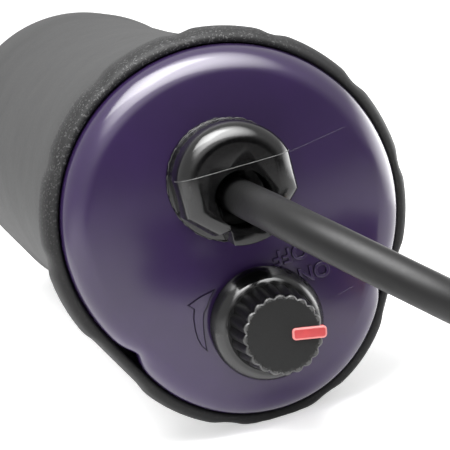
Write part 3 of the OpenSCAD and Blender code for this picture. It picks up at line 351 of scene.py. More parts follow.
def grain_group():
    """Moulded or drawn surface: colour drift, uneven gloss and a fine grain, stretched by Stretch."""
    tree, given, results = socket_group(
        "Surface grain",
        [("Color", "Color", (0.5, 0.5, 0.5, 1)), ("Shade", "Color", (0.3, 0.3, 0.3, 1)),
         ("Drift Scale", "Float", 60.0), ("Roughness", "Float", 0.4), ("Spread", "Float", 0.1),
         ("Grain Scale", "Float", 1500.0), ("Depth", "Float", 0.00002), ("Stretch", "Vector", (1, 1, 1))],
        [("Color", "Color"), ("Roughness", "Float"), ("Normal", "Vector")])
    stretch = {0: object_place(tree), 1: given["Stretch"]}
    place = shader_node(tree, "VectorMath", stretch, "Vector", operation="MULTIPLY")
    drift = noise(tree, place, given["Drift Scale"], 4.0, 0.6)
    grain = noise(tree, place, given["Grain Scale"])
    uneven = math_node(tree, "ADD", map_range(tree, drift, 0.3, 0.7, -0.5, 0.5),
                       map_range(tree, grain, 0.3, 0.7, -0.5, 0.5))
    gloss = math_node(tree, "MULTIPLY", uneven, given["Spread"])
    feed(tree, results, {
        "Color": mix_colour(tree, map_range(tree, drift, 0.35, 0.65), given["Color"], given["Shade"]),
        "Roughness": math_node(tree, "ADD", gloss, given["Roughness"]),
        "Normal": shader_node(tree, "Bump", {"Height": grain, "Distance": given["Depth"]}, "Normal"),
    })
    return tree


def dust_and_sheen_group():
    """Fine pale specks of dust on the lip of a dark sleeve, with painted light: the specks are weighted to
    the lip's upper left, where the light falls, and a pale painted sheen covers the body behind the lip.
    """
    tree, given, results = socket_group(
        "Dust and sheen",
        [("Color", "Color", (0.05, 0.05, 0.05, 1)), ("Dust and sheen", "Color", (0.2, 0.2, 0.2, 1)),
         ("Amount", "Float", 0.5), ("Scale", "Float", 2600.0)],
        [("Color", "Color"), ("Cover", "Float")])
    lip_end, body_start = REAR_Y + 0.009, REAR_Y + 0.035
    shaded_below, lit_above = 0.045, 0.068
    place = object_place(tree)
    speck = noise(tree, place, given["Scale"], 2.0, 0.7)
    patch = noise(tree, place, 90.0)
    x, y, z = (shader_node(tree, "SeparateXYZ", {"Vector": place}, axis) for axis in "XYZ")
    # Painted light: side grows towards the lip's upper left, where the light falls, and makes the lip paler
    # there.
    side = math_node(tree, "SUBTRACT", z, math_node(tree, "MULTIPLY", x, 0.4))
    body = map_range(tree, y, lip_end, body_start)
    cover = math_node(tree, "MULTIPLY", map_range(tree, speck, 0.56, 0.66),
                      map_range(tree, patch, 0.3, 0.7, 0.4, 1.0))
    cover = math_node(tree, "MULTIPLY", cover, map_range(tree, side, shaded_below, lit_above, 0.06, 0.9))
    cover = math_node(tree, "MULTIPLY", cover, math_node(tree, "SUBTRACT", 1.0, body))
    # Painted sheen: a pale cover over the body behind the lip, standing in for its grazing reflection.
    cover = math_node(tree, "ADD", cover, math_node(tree, "MULTIPLY", body, 0.15))
    cover = math_node(tree, "MULTIPLY", cover, given["Amount"])
    feed(tree, results, {"Cover": cover, "Color": mix_colour(tree, cover, given["Color"], given["Dust and sheen"])})
    return tree


def turns_group():
    """Rows of wire along the Y axis: height and the shade between the rows."""
    tree, given, results = socket_group(
        "Wire turns", [("Rows", "Float", 1500.0)], [("Height", "Float"), ("Shade", "Float")])
    height = wave(tree, given["Rows"], "Y", 0.4)
    feed(tree, results, {"Height": height, "Shade": map_range(tree, height, 0.0, 0.5, 0.3, 1.0)})
    return tree


def weave_group():
    """Crossed threads of a woven strap."""
    tree, given, results = socket_group("Weave", [("Threads", "Float", 700.0)], [("Height", "Float")])
    rows = [wave(tree, given["Threads"], direction, 0.6) for direction in ("X", "Y")]
    feed(tree, results, {"Height": math_node(tree, "MAXIMUM", *rows)})
    return tree


GROUPS = {"Surface grain": grain_group, "Dust and sheen": dust_and_sheen_group, "Wire turns": turns_group, "Weave": weave_group}


def group_node(tree, name, inputs):
    """The outputs of a shared effect, which is made at its first use."""
    node = tree.nodes.new("ShaderNodeGroup")
    node.node_tree = bpy.data.node_groups.get(name) or GROUPS[name]()
    feed(tree, node.inputs, inputs)
    return node.outputs


def finish(name, colour, shade, roughness, spread=0.1, metallic=0.0, coat=0.0, coat_roughness=0.05,
           drift=60.0, grain=1500.0, depth=0.00002, stretch=(1, 1, 1), dust_and_sheen=None, dust_and_sheen_amount=0.5,
           wire_rows=None, threads=None, specular=0.5):
    """A finish for one slot, on object coordinates."""
    material = bpy.data.materials.get(name)
    if material:
        return material
    dust_dulls, thread_depth = 0.3, 0.00015
    material = bpy.data.materials.new(name)
    material.use_nodes = True
    tree = material.node_tree
    surface = group_node(tree, "Surface grain", {
        "Color": (*colour, 1), "Shade": (*shade, 1), "Drift Scale": drift, "Roughness": roughness,
        "Spread": spread, "Grain Scale": grain, "Depth": depth, "Stretch": stretch})
    out_colour, out_rough, out_normal = surface["Color"], surface["Roughness"], surface["Normal"]
    # Dust specks, with painted light and sheen, laid over the colour.
    if dust_and_sheen:
        layer = group_node(tree, "Dust and sheen", {"Color": out_colour, "Dust and sheen": (*dust_and_sheen, 1), "Amount": dust_and_sheen_amount})
        out_colour = layer["Color"]
        out_rough = math_node(tree, "ADD", out_rough, math_node(tree, "MULTIPLY", layer["Cover"], dust_dulls))
    if wire_rows or threads:
        layer = group_node(tree, "Wire turns" if wire_rows else "Weave", {0: wire_rows or threads})
        bump = {"Height": layer["Height"], "Distance": thread_depth, "Normal": out_normal}
        out_normal = shader_node(tree, "Bump", bump, "Normal")
        if wire_rows:
            out_colour = scaled(tree, out_colour, layer["Shade"])
    feed(tree, tree.nodes["Principled BSDF"].inputs, {
        "Base Color": out_colour, "Roughness": out_rough, "Normal": out_normal, "Metallic": metallic,
        "Coat Weight": coat, "Coat Roughness": coat_roughness, "Specular IOR Level": specular})
    return material


def dim(colour, share):
    """A share of a colour."""
    return [share * part for part in colour]


def violet_finish():
    cap = bpy.context.scene.handpiece_cap
    return finish("violet pearl", cap.colour, cap.shade, 0.45, spread=0.04, coat=0.9, coat_roughness=0.15,
                  drift=45.0, grain=2600.0, depth=0.000002, specular=0.1)


def relief_painted_shade_finish():
    """Painted shade: a darker violet on the sides of letters and arrow and on a rim round the arrow's top."""
    cap = bpy.context.scene.handpiece_cap
    return finish("violet relief painted shade", dim(cap.shade, 0.4), dim(cap.shade, 0.25), 0.5,
                  spread=0.05, drift=200.0, grain=2600.0, depth=0.000002, specular=0.1)


def rubber_finish():
    sleeve = bpy.context.scene.handpiece_sleeve
    # The rubber's pale cover is dust on the lip, plus painted light on the lip's upper left and on the body.
    return finish("sleeve rubber", sleeve.colour, dim(sleeve.colour, 0.8), 0.6, spread=0.05,
                  drift=90.0, grain=1800.0, depth=0.000004, dust_and_sheen=sleeve.dust_and_sheen, dust_and_sheen_amount=0.7, specular=0.2)


def black_finish():
    knob = bpy.context.scene.handpiece_knob
    return finish("gloss black", knob.black, dim(knob.black, 0.75), 0.15, spread=0.06,
                  drift=160.0, grain=1800.0, depth=0.000006, specular=0.48)


def cord_finish():
    cord = bpy.context.scene.handpiece_cord
    return finish("cord sheath", cord.colour, dim(cord.colour, 0.85), 0.42, spread=0.06,
                  drift=120.0, grain=1600.0, depth=0.000004, specular=0.2)


def brass_finish():
    return finish("turned brass", (0.55, 0.33, 0.1), (0.48, 0.27, 0.08), 0.28, spread=0.12, metallic=1.0,
                  drift=90.0, grain=900.0, depth=0.000004, stretch=(1, 6, 1))


# Meshes


def add_piece(name, bm, materials, body, slot, *nodes, sharp=40):
    """Makes a piece of a bmesh and puts it on its body."""
    if not bm.faces:
        raise RuntimeError(f"{name} has no faces")
    bmesh.ops.recalc_face_normals(bm, faces=bm.faces[:])
    data = mesh_of(name, bm)
    for material in materials:
        data.materials.append(material)
    data.polygons.foreach_set("use_smooth", [True] * len(data.polygons))
    data.set_sharp_from_angle(angle=math.radians(sharp))
    piece = new_object(name, data)
    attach(piece, body)
    if nodes:
        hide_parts(*nodes)
    return piece


def verts_of(geom):
    return [g for g in geom if isinstance(g, bmesh.types.BMVert)]


def edges_of(geom):
    return [g for g in geom if isinstance(g, bmesh.types.BMEdge)]


def faces_of(geom):
    return [g for g in geom if isinstance(g, bmesh.types.BMFace)]


def start_ring(bm, places):
    """A closed loop of edges at the given places, with each vertex's number kept in a layer."""
    number = bm.verts.layers.int.new("number")
    made = bmesh.ops.create_circle(bm, cap_ends=False, segments=len(places), radius=1)["verts"]
    for i, (vert, place) in enumerate(zip(made, places)):
        vert[number] = i
        vert.co = place
    return list({edge for vert in made for edge in vert.link_edges})


def next_ring(bm, edges, places):
    """Extrudes a loop of edges to the next ring of places."""
    number = bm.verts.layers.int["number"]
    grown = bmesh.ops.extrude_edge_only(bm, edges=edges)["geom"]
    for vert in verts_of(grown):
        vert.co = places[vert[number]]
    return edges_of(grown)


def bevel_sharp(bm, angle, offset, segments):
    """Rounds the edges that turn by more than an angle in degrees."""
    sharp = [e for e in bm.edges if len(e.link_faces) == 2 and e.calc_face_angle() > math.radians(angle)]
    bmesh.ops.bevel(bm, geom=sharp, offset=offset, offset_type="OFFSET", segments=segments, profile=0.5,
                    affect="EDGES", clamp_overlap=True, material=-1)


def merged(data):
    """A bmesh of a mesh, with points that coincide made one."""
    bm = bmesh.new()
    bm.from_mesh(data)
    bmesh.ops.remove_doubles(bm, verts=bm.verts[:], dist=MERGE)
    return bm


def node_copy(name, bevel, segments):
    """A merged copy of a solid's mesh with its sharp edges rounded."""
    bm = merged(NODES[name].data)
    bmesh.ops.dissolve_limit(bm, angle_limit=math.radians(1), verts=bm.verts[:], edges=bm.edges[:])
    bevel_sharp(bm, 25, bevel, segments)
    return bm


def add_copy(name, node, material, slot, bevel, segments=2, sharp=40):
    """Makes a piece of a solid that keeps its form, with its sharp edges rounded."""
    bm = node_copy(node, bevel, segments)
    return add_piece(name, bm, [material], "handpiece", slot, node, sharp=sharp)


def new_object(name, data):
    """An object in the scene's collection."""
    made = bpy.data.objects.new(name, data)
    bpy.context.collection.objects.link(made)
    return made


def evaluated(piece, *spent):
    """The merged bmesh of an object with its modifiers or its curve made a mesh; the objects are removed."""
    bpy.context.view_layer.update()
    data = bpy.data.meshes.new_from_object(piece.evaluated_get(bpy.context.evaluated_depsgraph_get()))
    for used in (piece, *spent):
        bpy.data.objects.remove(used)
    return merged(data)


def mesh_of(name, bm):
    """A mesh that takes over a bmesh."""
    data = bpy.data.meshes.new(name)
    bm.to_mesh(data)
    bm.free()
    return data


def round_curve(name, radius, resolution, filled):
    """A curve with a round section."""
    curve = bpy.data.curves.new(name, "CURVE")
    curve.dimensions = "3D"
    curve.bevel_depth = radius
    curve.bevel_resolution = resolution
    curve.use_fill_caps = filled
    return curve


def spun(places, centre, axis, steps):
    """A shape spun round an axis from a line of places."""
    bm = bmesh.new()
    verts = [bm.verts.new(place) for place in places]
    edges = [bm.edges.new(pair) for pair in zip(verts, verts[1:])]
    bmesh.ops.spin(bm, geom=verts + edges, cent=centre, axis=axis, angle=2 * math.pi, steps=steps,
                   use_merge=True)
    bmesh.ops.remove_doubles(bm, verts=bm.verts[:], dist=MERGE)
    return bm


def tube(points, radius, closed=False):
    """A thin round ridge along a line of points."""
    curve = round_curve("ridge", radius, 3, not closed)
    spline = curve.splines.new("POLY")
    spline.points.add(len(points) - 1)
    spline.use_cyclic_u = closed
    for point, place in zip(spline.points, points):
        point.co = (*place, 1)
    return evaluated(new_object("ridge", curve))


def paint(material, *names):
    """Gives solids that stay as they are their finish."""
    for name in names:
        piece = NODES[name]
        if not piece.material_slots:
            piece.data.materials.append(material)
        for place in piece.material_slots:
            place.material = material


# End cap


def ray_hit(star, centre, radius, turn):
    offset = centre - star
    return offset * math.sin(turn) + math.sqrt(radius ** 2 - (offset * math.cos(turn)) ** 2)


def cap_edge(cap):
    """How far the rounded edge is drawn in where it meets the crown, and its station there."""
    return cap.edge * (1 - math.cos(cap.edge_end)), -cap.edge * math.sin(cap.edge_end)


def crown_station(cap, share):
    """Station of the crown at a share of its reach."""
    edge_z = cap_edge(cap)[1]
    return edge_z - (cap.height + edge_z) * (1 - share * share)


def cap_reach(cap, turn, drawn, soft, dip=0.0):
    """Reach of the two domes' outline, drawn in, from a point between their axes; dip sinks the notch."""
    star = cap.lobe_drop / 2
    a = ray_hit(star, 0, cap.radius - drawn, turn)
    b = ray_hit(star, cap.lobe_drop, cap.lobe_radius - drawn, turn)
    sunk = dip * cap.notch_dip * max(1 - abs(a - b) / cap.notch_run, 0) ** 2
    return max(a, b) + max(soft - abs(a - b), 0) ** 2 / (4 * soft) - sunk


def crown(cap, x, y):
    """Station of the crown at a point, towards the nose."""
    star = cap.lobe_drop / 2
    reach = cap_reach(cap, math.atan2(y - star, x), cap_edge(cap)[0], cap.blend)
    return crown_station(cap, math.hypot(x, y - star) / reach)


def cap_ring(cap, sides, drawn, soft, share, z, dip=0.0):
    ring = []
    for i in range(sides):
        turn = 2 * math.pi * i / sides
        reach = share * cap_reach(cap, turn, drawn, soft, dip)
        ring.append(here(reach * math.cos(turn), cap.lobe_drop / 2 + reach * math.sin(turn), z))
    return ring


def cut_seat(bm, cap, axis_z, radius, seat, bore):
    """Opens the crown round an axis: a rim of that radius, a seat at a station, and a bore through it."""
    down = AXIS_Z - axis_z

    def near(point, reach):
        return math.hypot(point.x, point.z - axis_z) < reach and point.y < REAR_Y

    inside = [f for f in bm.faces if near(f.calc_center_median(), radius)]
    bmesh.ops.delete(bm, geom=inside, context="FACES")
    rim_reach = 1.4 * radius
    rim = [e for e in bm.edges if e.is_boundary and near(e.verts[0].co, rim_reach)]
    for vert in {v for e in rim for v in e.verts}:
        turn = math.atan2(vert.co.z - axis_z, vert.co.x)
        x, y = radius * math.cos(turn), down - radius * math.sin(turn)
        vert.co = here(x, y, crown(cap, x, y))
    for reach, z in ((radius, seat), (bore, seat), (bore, MM)):
        grown = bmesh.ops.extrude_edge_only(bm, edges=rim)["geom"]
        rim = edges_of(grown)
        for vert in verts_of(grown):
            turn = math.atan2(vert.co.z - axis_z, vert.co.x)
            vert.co = here(reach * math.cos(turn), down - reach * math.sin(turn), z)
    bmesh.ops.contextual_create(bm, geom=rim)


class HANDPIECE_OT_cap(bpy.types.Operator):
    """Double-domed end cap with the seats of gland and knob"""

    bl_idname = "handpiece.cap"
    bl_label = "End cap"

    def execute(self, context):
        cap = context.scene.handpiece_cap
        gland = context.scene.handpiece_gland
        knob = context.scene.handpiece_knob
        sides, edge_steps, crown_steps = 240, 18, 24
        drawn = cap_edge(cap)[0]
        bm = bmesh.new()
        rings = [
            cap_ring(cap, sides, cap.spigot_step, cap.blend, 1, cap.skirt + cap.spigot_reach),
            cap_ring(cap, sides, cap.spigot_step, cap.blend, 1, cap.skirt),
            cap_ring(cap, sides, 0, cap.notch, 1, cap.skirt, 1),
            cap_ring(cap, sides, 0, cap.notch, 1, cap.skirt / 2, 1),
        ]
        for i in range(edge_steps + 1):
            share = i / edge_steps
            turn = cap.edge_end * share
            soft = cap.notch + (cap.blend - cap.notch) * share ** 3
            rings.append(cap_ring(cap, sides, cap.edge * (1 - math.cos(turn)), soft, 1,
                                  -cap.edge * math.sin(turn), (1 - share) ** 2))
        for i in range(1, crown_steps):
            share = 1 - i / crown_steps
            rings.append(cap_ring(cap, sides, drawn, cap.blend, share, crown_station(cap, share)))
        edges = start_ring(bm, rings[0])
        bmesh.ops.contextual_create(bm, geom=edges)
        for ring in rings[1:]:
            edges = next_ring(bm, edges, ring)
        bmesh.ops.contextual_create(bm, geom=edges)
        cut_seat(bm, cap, GLAND_Z, gland.flange_radius + cap.seat_gap, -gland.seat,
                 gland.stem_radius + cap.seat_gap)
        cut_seat(bm, cap, KNOB_Z, knob.well_radius, -knob.well_seat, knob.well_bore)
        add_piece("cap_skin", bm, [violet_finish()], "handpiece", "violet_plastic", "end_cap")
        return {"FINISHED"}


class HANDPIECE_OT_markings(bpy.types.Operator):
    """Raised ON, OFF and arrow on the end cap"""

    bl_idname = "handpiece.markings"
    bl_label = "Markings"

    def execute(self, context):
        cap = context.scene.handpiece_cap
        knob_down = AXIS_Z - KNOB_Z
        front_normal = -0.8

        def by_knob(reach, angle):
            turn = math.radians(angle)
            return reach * MM * math.cos(turn), knob_down - reach * MM * math.sin(turn)

        for word, reach, angle in WORDS:
            curve = bpy.data.curves.new(word, "FONT")
            curve.body = word
            curve.size = cap.letter_height / CAPITAL_SHARE
            curve.align_x, curve.align_y = "CENTER", "CENTER"
            curve.offset = cap.letter_weight
            curve.extrude = cap.relief
            curve.bevel_depth = cap.letter_bevel
            bm = evaluated(new_object(word, curve))
            middle_x, middle_y = by_knob(reach, angle)
            for vert in bm.verts:
                x, y = middle_x - vert.co.x, middle_y + vert.co.y
                vert.co = here(x, y, crown(cap, x, y) - vert.co.z)
            bm.normal_update()
            # Painted shade: the letters' sides take the darker relief finish.
            for face in bm.faces:
                face.material_index = 0 if face.normal.y < front_normal else 1
            materials = [violet_finish(), relief_painted_shade_finish()]
            add_piece(f"letters_{word.lower()}", bm, materials, "handpiece", "violet_plastic")
        places = []
        for reach, angle in ARROW:
            x, y = by_knob(reach, angle)
            places.append(here(x, y, crown(cap, x, y) + cap.relief))
        bm = bmesh.new()
        edges = start_ring(bm, places)
        bmesh.ops.contextual_create(bm, geom=edges)
        raised = bmesh.ops.extrude_face_region(bm, geom=bm.faces[:])["geom"]
        top = faces_of(raised)
        bmesh.ops.translate(bm, vec=(0, -2 * cap.relief, 0), verts=verts_of(raised))
        rim = bmesh.ops.inset_region(bm, faces=top, thickness=cap.outline, depth=0, use_even_offset=True)
        rim = rim["faces"]
        # Painted shade: the rim round the arrow's top and its sides take the darker relief finish.
        for face in bm.faces:
            face.material_index = 0 if face in top and face not in rim else 1
        add_piece("arrow_plate", bm, [violet_finish(), relief_painted_shade_finish()], "handpiece", "violet_plastic")
        steps = 8
        for i, (start, end) in enumerate(FLOW_LINES):
            places = []
            for n in range(steps + 1):
                x, y = ((a + (b - a) * n / steps) * MM for a, b in zip(start, end))
                places.append(here(x, y, crown(cap, x, y)))
            bm = tube(places, cap.flow_radius)
            add_piece(f"flow_line_{i + 1}", bm, [violet_finish()], "handpiece", "violet_plastic")
        return {"FINISHED"}


# Sleeve


def sleeve_ring(cap, radius, rise, z):
    """Outline of the sleeve at a station: main arc, flat side, lower arc, flat side, with soft pads."""
    step = cap.radius - cap.lobe_radius
    lean = math.asin(step / cap.lobe_drop)
    main_arc = (radius, 0, lean, -math.pi - lean, 8)
    lower_arc = (radius - step, cap.lobe_drop, math.pi - lean, lean, 3)
    pad_steps, side_steps = 22, 8
    gap, slope = 0.02, 0.16
    ring = []
    for arc, following in ((main_arc, lower_arc), (lower_arc, main_arc)):
        reach, centre, start, end, pads = arc
        count = pads * pad_steps
        for i in range(count):
            share = i / count * pads % 1
            pad = ease((share - gap) / slope) * ease((1 - gap - share) / slope)
            turn = start + (end - start) * i / count
            q = reach + rise * pad
            ring.append((q * math.cos(turn), centre + q * math.sin(turn)))
        last = (reach * math.cos(end), centre + reach * math.sin(end))
        reach, centre, start = following[:3]
        first = (reach * math.cos(start), centre + reach * math.sin(start))
        for i in range(side_steps):
            ring.append(tuple(a + (b - a) * i / side_steps for a, b in zip(last, first)))
    places = [here(x, y, z) for x, y in ring]
    for place in places:
        place.z = max(place.z, 0)
    return places


class HANDPIECE_OT_sleeve(bpy.types.Operator):
    """Rubber grip sleeve with its padded lip"""

    bl_idname = "handpiece.sleeve"
    bl_label = "Sleeve"

    def execute(self, context):
        sleeve = context.scene.handpiece_sleeve
        cap = context.scene.handpiece_cap
        lip, waist = sleeve.lip_radius, sleeve.lip_radius - sleeve.waist_in
        bead = lip - sleeve.bead_in
        inner = waist - sleeve.wall
        bead_z = GRIP_LEN - sleeve.bead_back
        # Station from the rear edge, radius of the main arc and share of the pads' height
        profile = [
            (0.0002, sleeve.lip_inner + 0.0001, 0), (0, sleeve.lip_inner + 0.0004, 0), (0, lip - 0.0013, 0),
            (0.0001, lip - 0.0011, 0.15), (0.0003, lip - 0.0009, 0.35), (0.0006, lip - 0.00072, 0.55),
            (0.0011, lip - 0.0005, 0.7), (0.0019, lip - 0.0003, 0.85), (0.0028, lip - 0.00014, 0.95),
            (0.0038, lip - 0.00005, 1), (0.0048, lip, 1), (sleeve.lip_len - 0.0016, lip, 1),
            (sleeve.lip_len - 0.0009, lip - 0.0001, 0.9), (sleeve.lip_len - 0.0003, lip - 0.0004, 0.65),
            (sleeve.lip_len + 0.0004, lip - 0.0009, 0.4), (sleeve.lip_len + 0.0012, lip - 0.0014, 0.2),
            (sleeve.lip_len + 0.0022, waist + 0.0004, 0.05), (sleeve.lip_len + 0.0034, waist + 0.0001, 0),
            (sleeve.lip_len + 0.006, waist, 0), (GRIP_LEN / 4, waist - 0.0002, 0), (GRIP_LEN / 2, waist, 0),
            (bead_z - 0.022, waist + 0.35 * sleeve.waist_in, 0), (bead_z - 0.006, bead - 0.0004, 0),
            (bead_z, bead, 0), (bead_z + 0.018, bead, 0), (GRIP_LEN - 0.006, bead - 0.00012, 0),
            (GRIP_LEN - 0.004, bead - 0.0005, 0), (GRIP_LEN - 0.0024, bead - 0.001, 0),
            (GRIP_LEN - 0.0012, bead - 0.0016, 0), (GRIP_LEN - 0.0003, bead - 0.0024, 0),
            (GRIP_LEN, bead - 0.003, 0), (GRIP_LEN, inner, 0), (cap.skirt + 0.0005, inner, 0),
            (cap.skirt + 0.0005, sleeve.lip_inner, 0), (0.0006, sleeve.lip_inner, 0),
        ]
        rings = [sleeve_ring(cap, radius, rise * sleeve.pad_height, z) for z, radius, rise in profile]
        bm = bmesh.new()
        first = edges = start_ring(bm, rings[0])
        for ring in rings[1:]:
            edges = next_ring(bm, edges, ring)
        bmesh.ops.bridge_loops(bm, edges=first + edges)
        add_piece("sleeve_skin", bm, [rubber_finish()], "handpiece", "sleeve_rubber", "grip_sleeve", sharp=50)
        return {"FINISHED"}


# Gland, knob, nose, plug


def head_section(gland, turn):
    """Outline of the gland's head where its rounded edge has turned so far: dome above, cheeks below."""
    drawn = gland.edge * (1 - math.cos(turn))
    reach = gland.head_radius - drawn
    half = math.sqrt(reach ** 2 - gland.part_rise ** 2)
    arc, low_share = 64, 0.3
    low = gland.cheek_drop - low_share * drawn
    start = math.asin(gland.part_rise / reach)
    ring = []
    for i in range(arc + 1):
        angle = start + (math.pi - 2 * start) * i / arc
        ring.append((reach * math.cos(angle), reach * math.sin(angle)))
    ring += [(-half, gland.corner - low), (gland.corner - half, -low), (half - gland.corner, -low),
             (half, gland.corner - low)]
    return ring


def gland_place(x, up, depth):
    """A point of the gland, from its axis and from the cap's seat outwards."""
    return Vector((x, REAR_Y - depth, GLAND_Z + up))


def head_depth(gland, turn):
    return gland.face - gland.edge * (1 - math.sin(turn))


def round_bar(radius, drop, near, far):
    """A bar along the gland's axis, at a drop below it."""
    bm = bmesh.new()
    turn = Matrix.Rotation(math.pi / 2, 4, "X")
    place = Matrix.Translation(gland_place(0, -drop, (near + far) / 2))
    bmesh.ops.create_cone(bm, cap_ends=True, segments=72, radius1=radius, radius2=radius,
                          depth=abs(far - near), matrix=place @ turn)
    return bm


def cut_out(base, *tools):
    """The bmesh left after cutting tools out of a base."""
    piece = new_object("base", mesh_of("base", base))
    cutters = [new_object("cutter", mesh_of("cutter", tool)) for tool in tools]
    for cutter in cutters:
        step = piece.modifiers.new("cut", "BOOLEAN")
        step.operation, step.solver, step.object = "DIFFERENCE", "EXACT", cutter
    return evaluated(piece, *cutters)


class HANDPIECE_OT_gland(bpy.types.Operator):
    """Two-part cord gland with its parting ridge and the flash round its flange"""

    bl_idname = "handpiece.gland"
    bl_label = "Cord gland"

    def execute(self, context):
        gland = context.scene.handpiece_gland
        edge_steps, flange_steps, flash_steps = 10, 96, 180
        turns = [math.radians(90) * i / edge_steps for i in range(edge_steps + 1)]
        radius, top, lip = gland.flange_radius, gland.flange_top, gland.flange_edge
        eased = 0.3 * lip
        head = bmesh.new()
        ring = [gland_place(x, up, top - lip) for x, up in head_section(gland, 0)]
        edges = start_ring(head, ring)
        bmesh.ops.contextual_create(head, geom=edges)
        for turn in turns:
            depth = head_depth(gland, turn)
            edges = next_ring(head, edges, [gland_place(x, up, depth) for x, up in head_section(gland, turn)])
        bmesh.ops.contextual_create(head, geom=edges)
        bmesh.ops.recalc_face_normals(head, faces=head.faces[:])
        profile = [
            (0, -gland.stem_depth), (gland.stem_radius, -gland.stem_depth), (gland.stem_radius, gland.seat),
            (radius, gland.seat), (radius, top - lip), (radius - eased, top - eased), (radius - lip, top),
            (0, top),
        ]
        places = [gland_place(reach, 0, depth) for reach, depth in profile]
        base = spun(places, gland_place(0, 0, 0), (0, 1, 0), flange_steps)
        bmesh.ops.recalc_face_normals(base, faces=base.faces[:])
        exit_depth = REAR_Y - CORD_EXIT.y
        overcut, slot_height = 2 * MM, 20 * MM
        slot = bmesh.new()
        slot_deep = gland.face - top + overcut
        slot_size = Matrix.Diagonal((2 * gland.slot_half, slot_deep, slot_height, 1))
        slot_place = gland_place(0, -gland.mouth_drop - slot_height / 2, top + slot_deep / 2)
        bmesh.ops.create_cube(slot, size=1, matrix=Matrix.Translation(slot_place) @ slot_size)
        mouth = round_bar(gland.mouth_radius, gland.mouth_drop, exit_depth, gland.face + overcut)
        bore = round_bar(CORD_D / 2 + gland.cord_gap, gland.mouth_drop, -gland.stem_depth - overcut,
                         exit_depth + overcut / 2)
        bm = cut_out(head, mouth, bore.copy(), slot)
        bm.from_mesh(mesh_of("flange", cut_out(base, bore)))
        bevel_sharp(bm, 38, gland.bevel, 2)
        black = black_finish()
        add_piece("gland_upper_moulding", bm, [black], "handpiece", "gloss_black", "gland_upper", sharp=35)
        add_copy("gland_lower_moulding", "gland_lower", black, "gloss_black", gland.jaw_bevel, sharp=35)

        left, right = [], []
        for turn in turns:
            half = head_section(gland, turn)[0][0]
            right.append(gland_place(half, gland.part_rise, head_depth(gland, turn)))
            left.append(gland_place(-half, gland.part_rise, head_depth(gland, turn)))
        # The parting ridge and the flash are real ridges; their pale colour is a painted highlight.
        ridge_and_flash_highlight = finish("moulding flash painted highlight", gland.flash, dim(gland.flash, 0.1), 0.45, spread=0.2,
                      drift=900.0, grain=2600.0, depth=0.00001)
        bm = tube(left + right[::-1], gland.ridge)
        add_piece("gland_ridge", bm, [ridge_and_flash_highlight], "handpiece", "gloss_black")
        ring = []
        for i in range(flash_steps):
            angle = 2 * math.pi * i / flash_steps
            swing = math.sin(13 * angle) + math.sin(29 * angle + 1) + math.sin(53 * angle + 2)
            reach = radius + gland.ragged * swing
            ring.append(gland_place(reach * math.cos(angle), reach * math.sin(angle), top - lip))
        bm = tube(ring, gland.ridge, closed=True)
        add_piece("gland_flash", bm, [ridge_and_flash_highlight], "handpiece", "gloss_black")
        return {"FINISHED"}


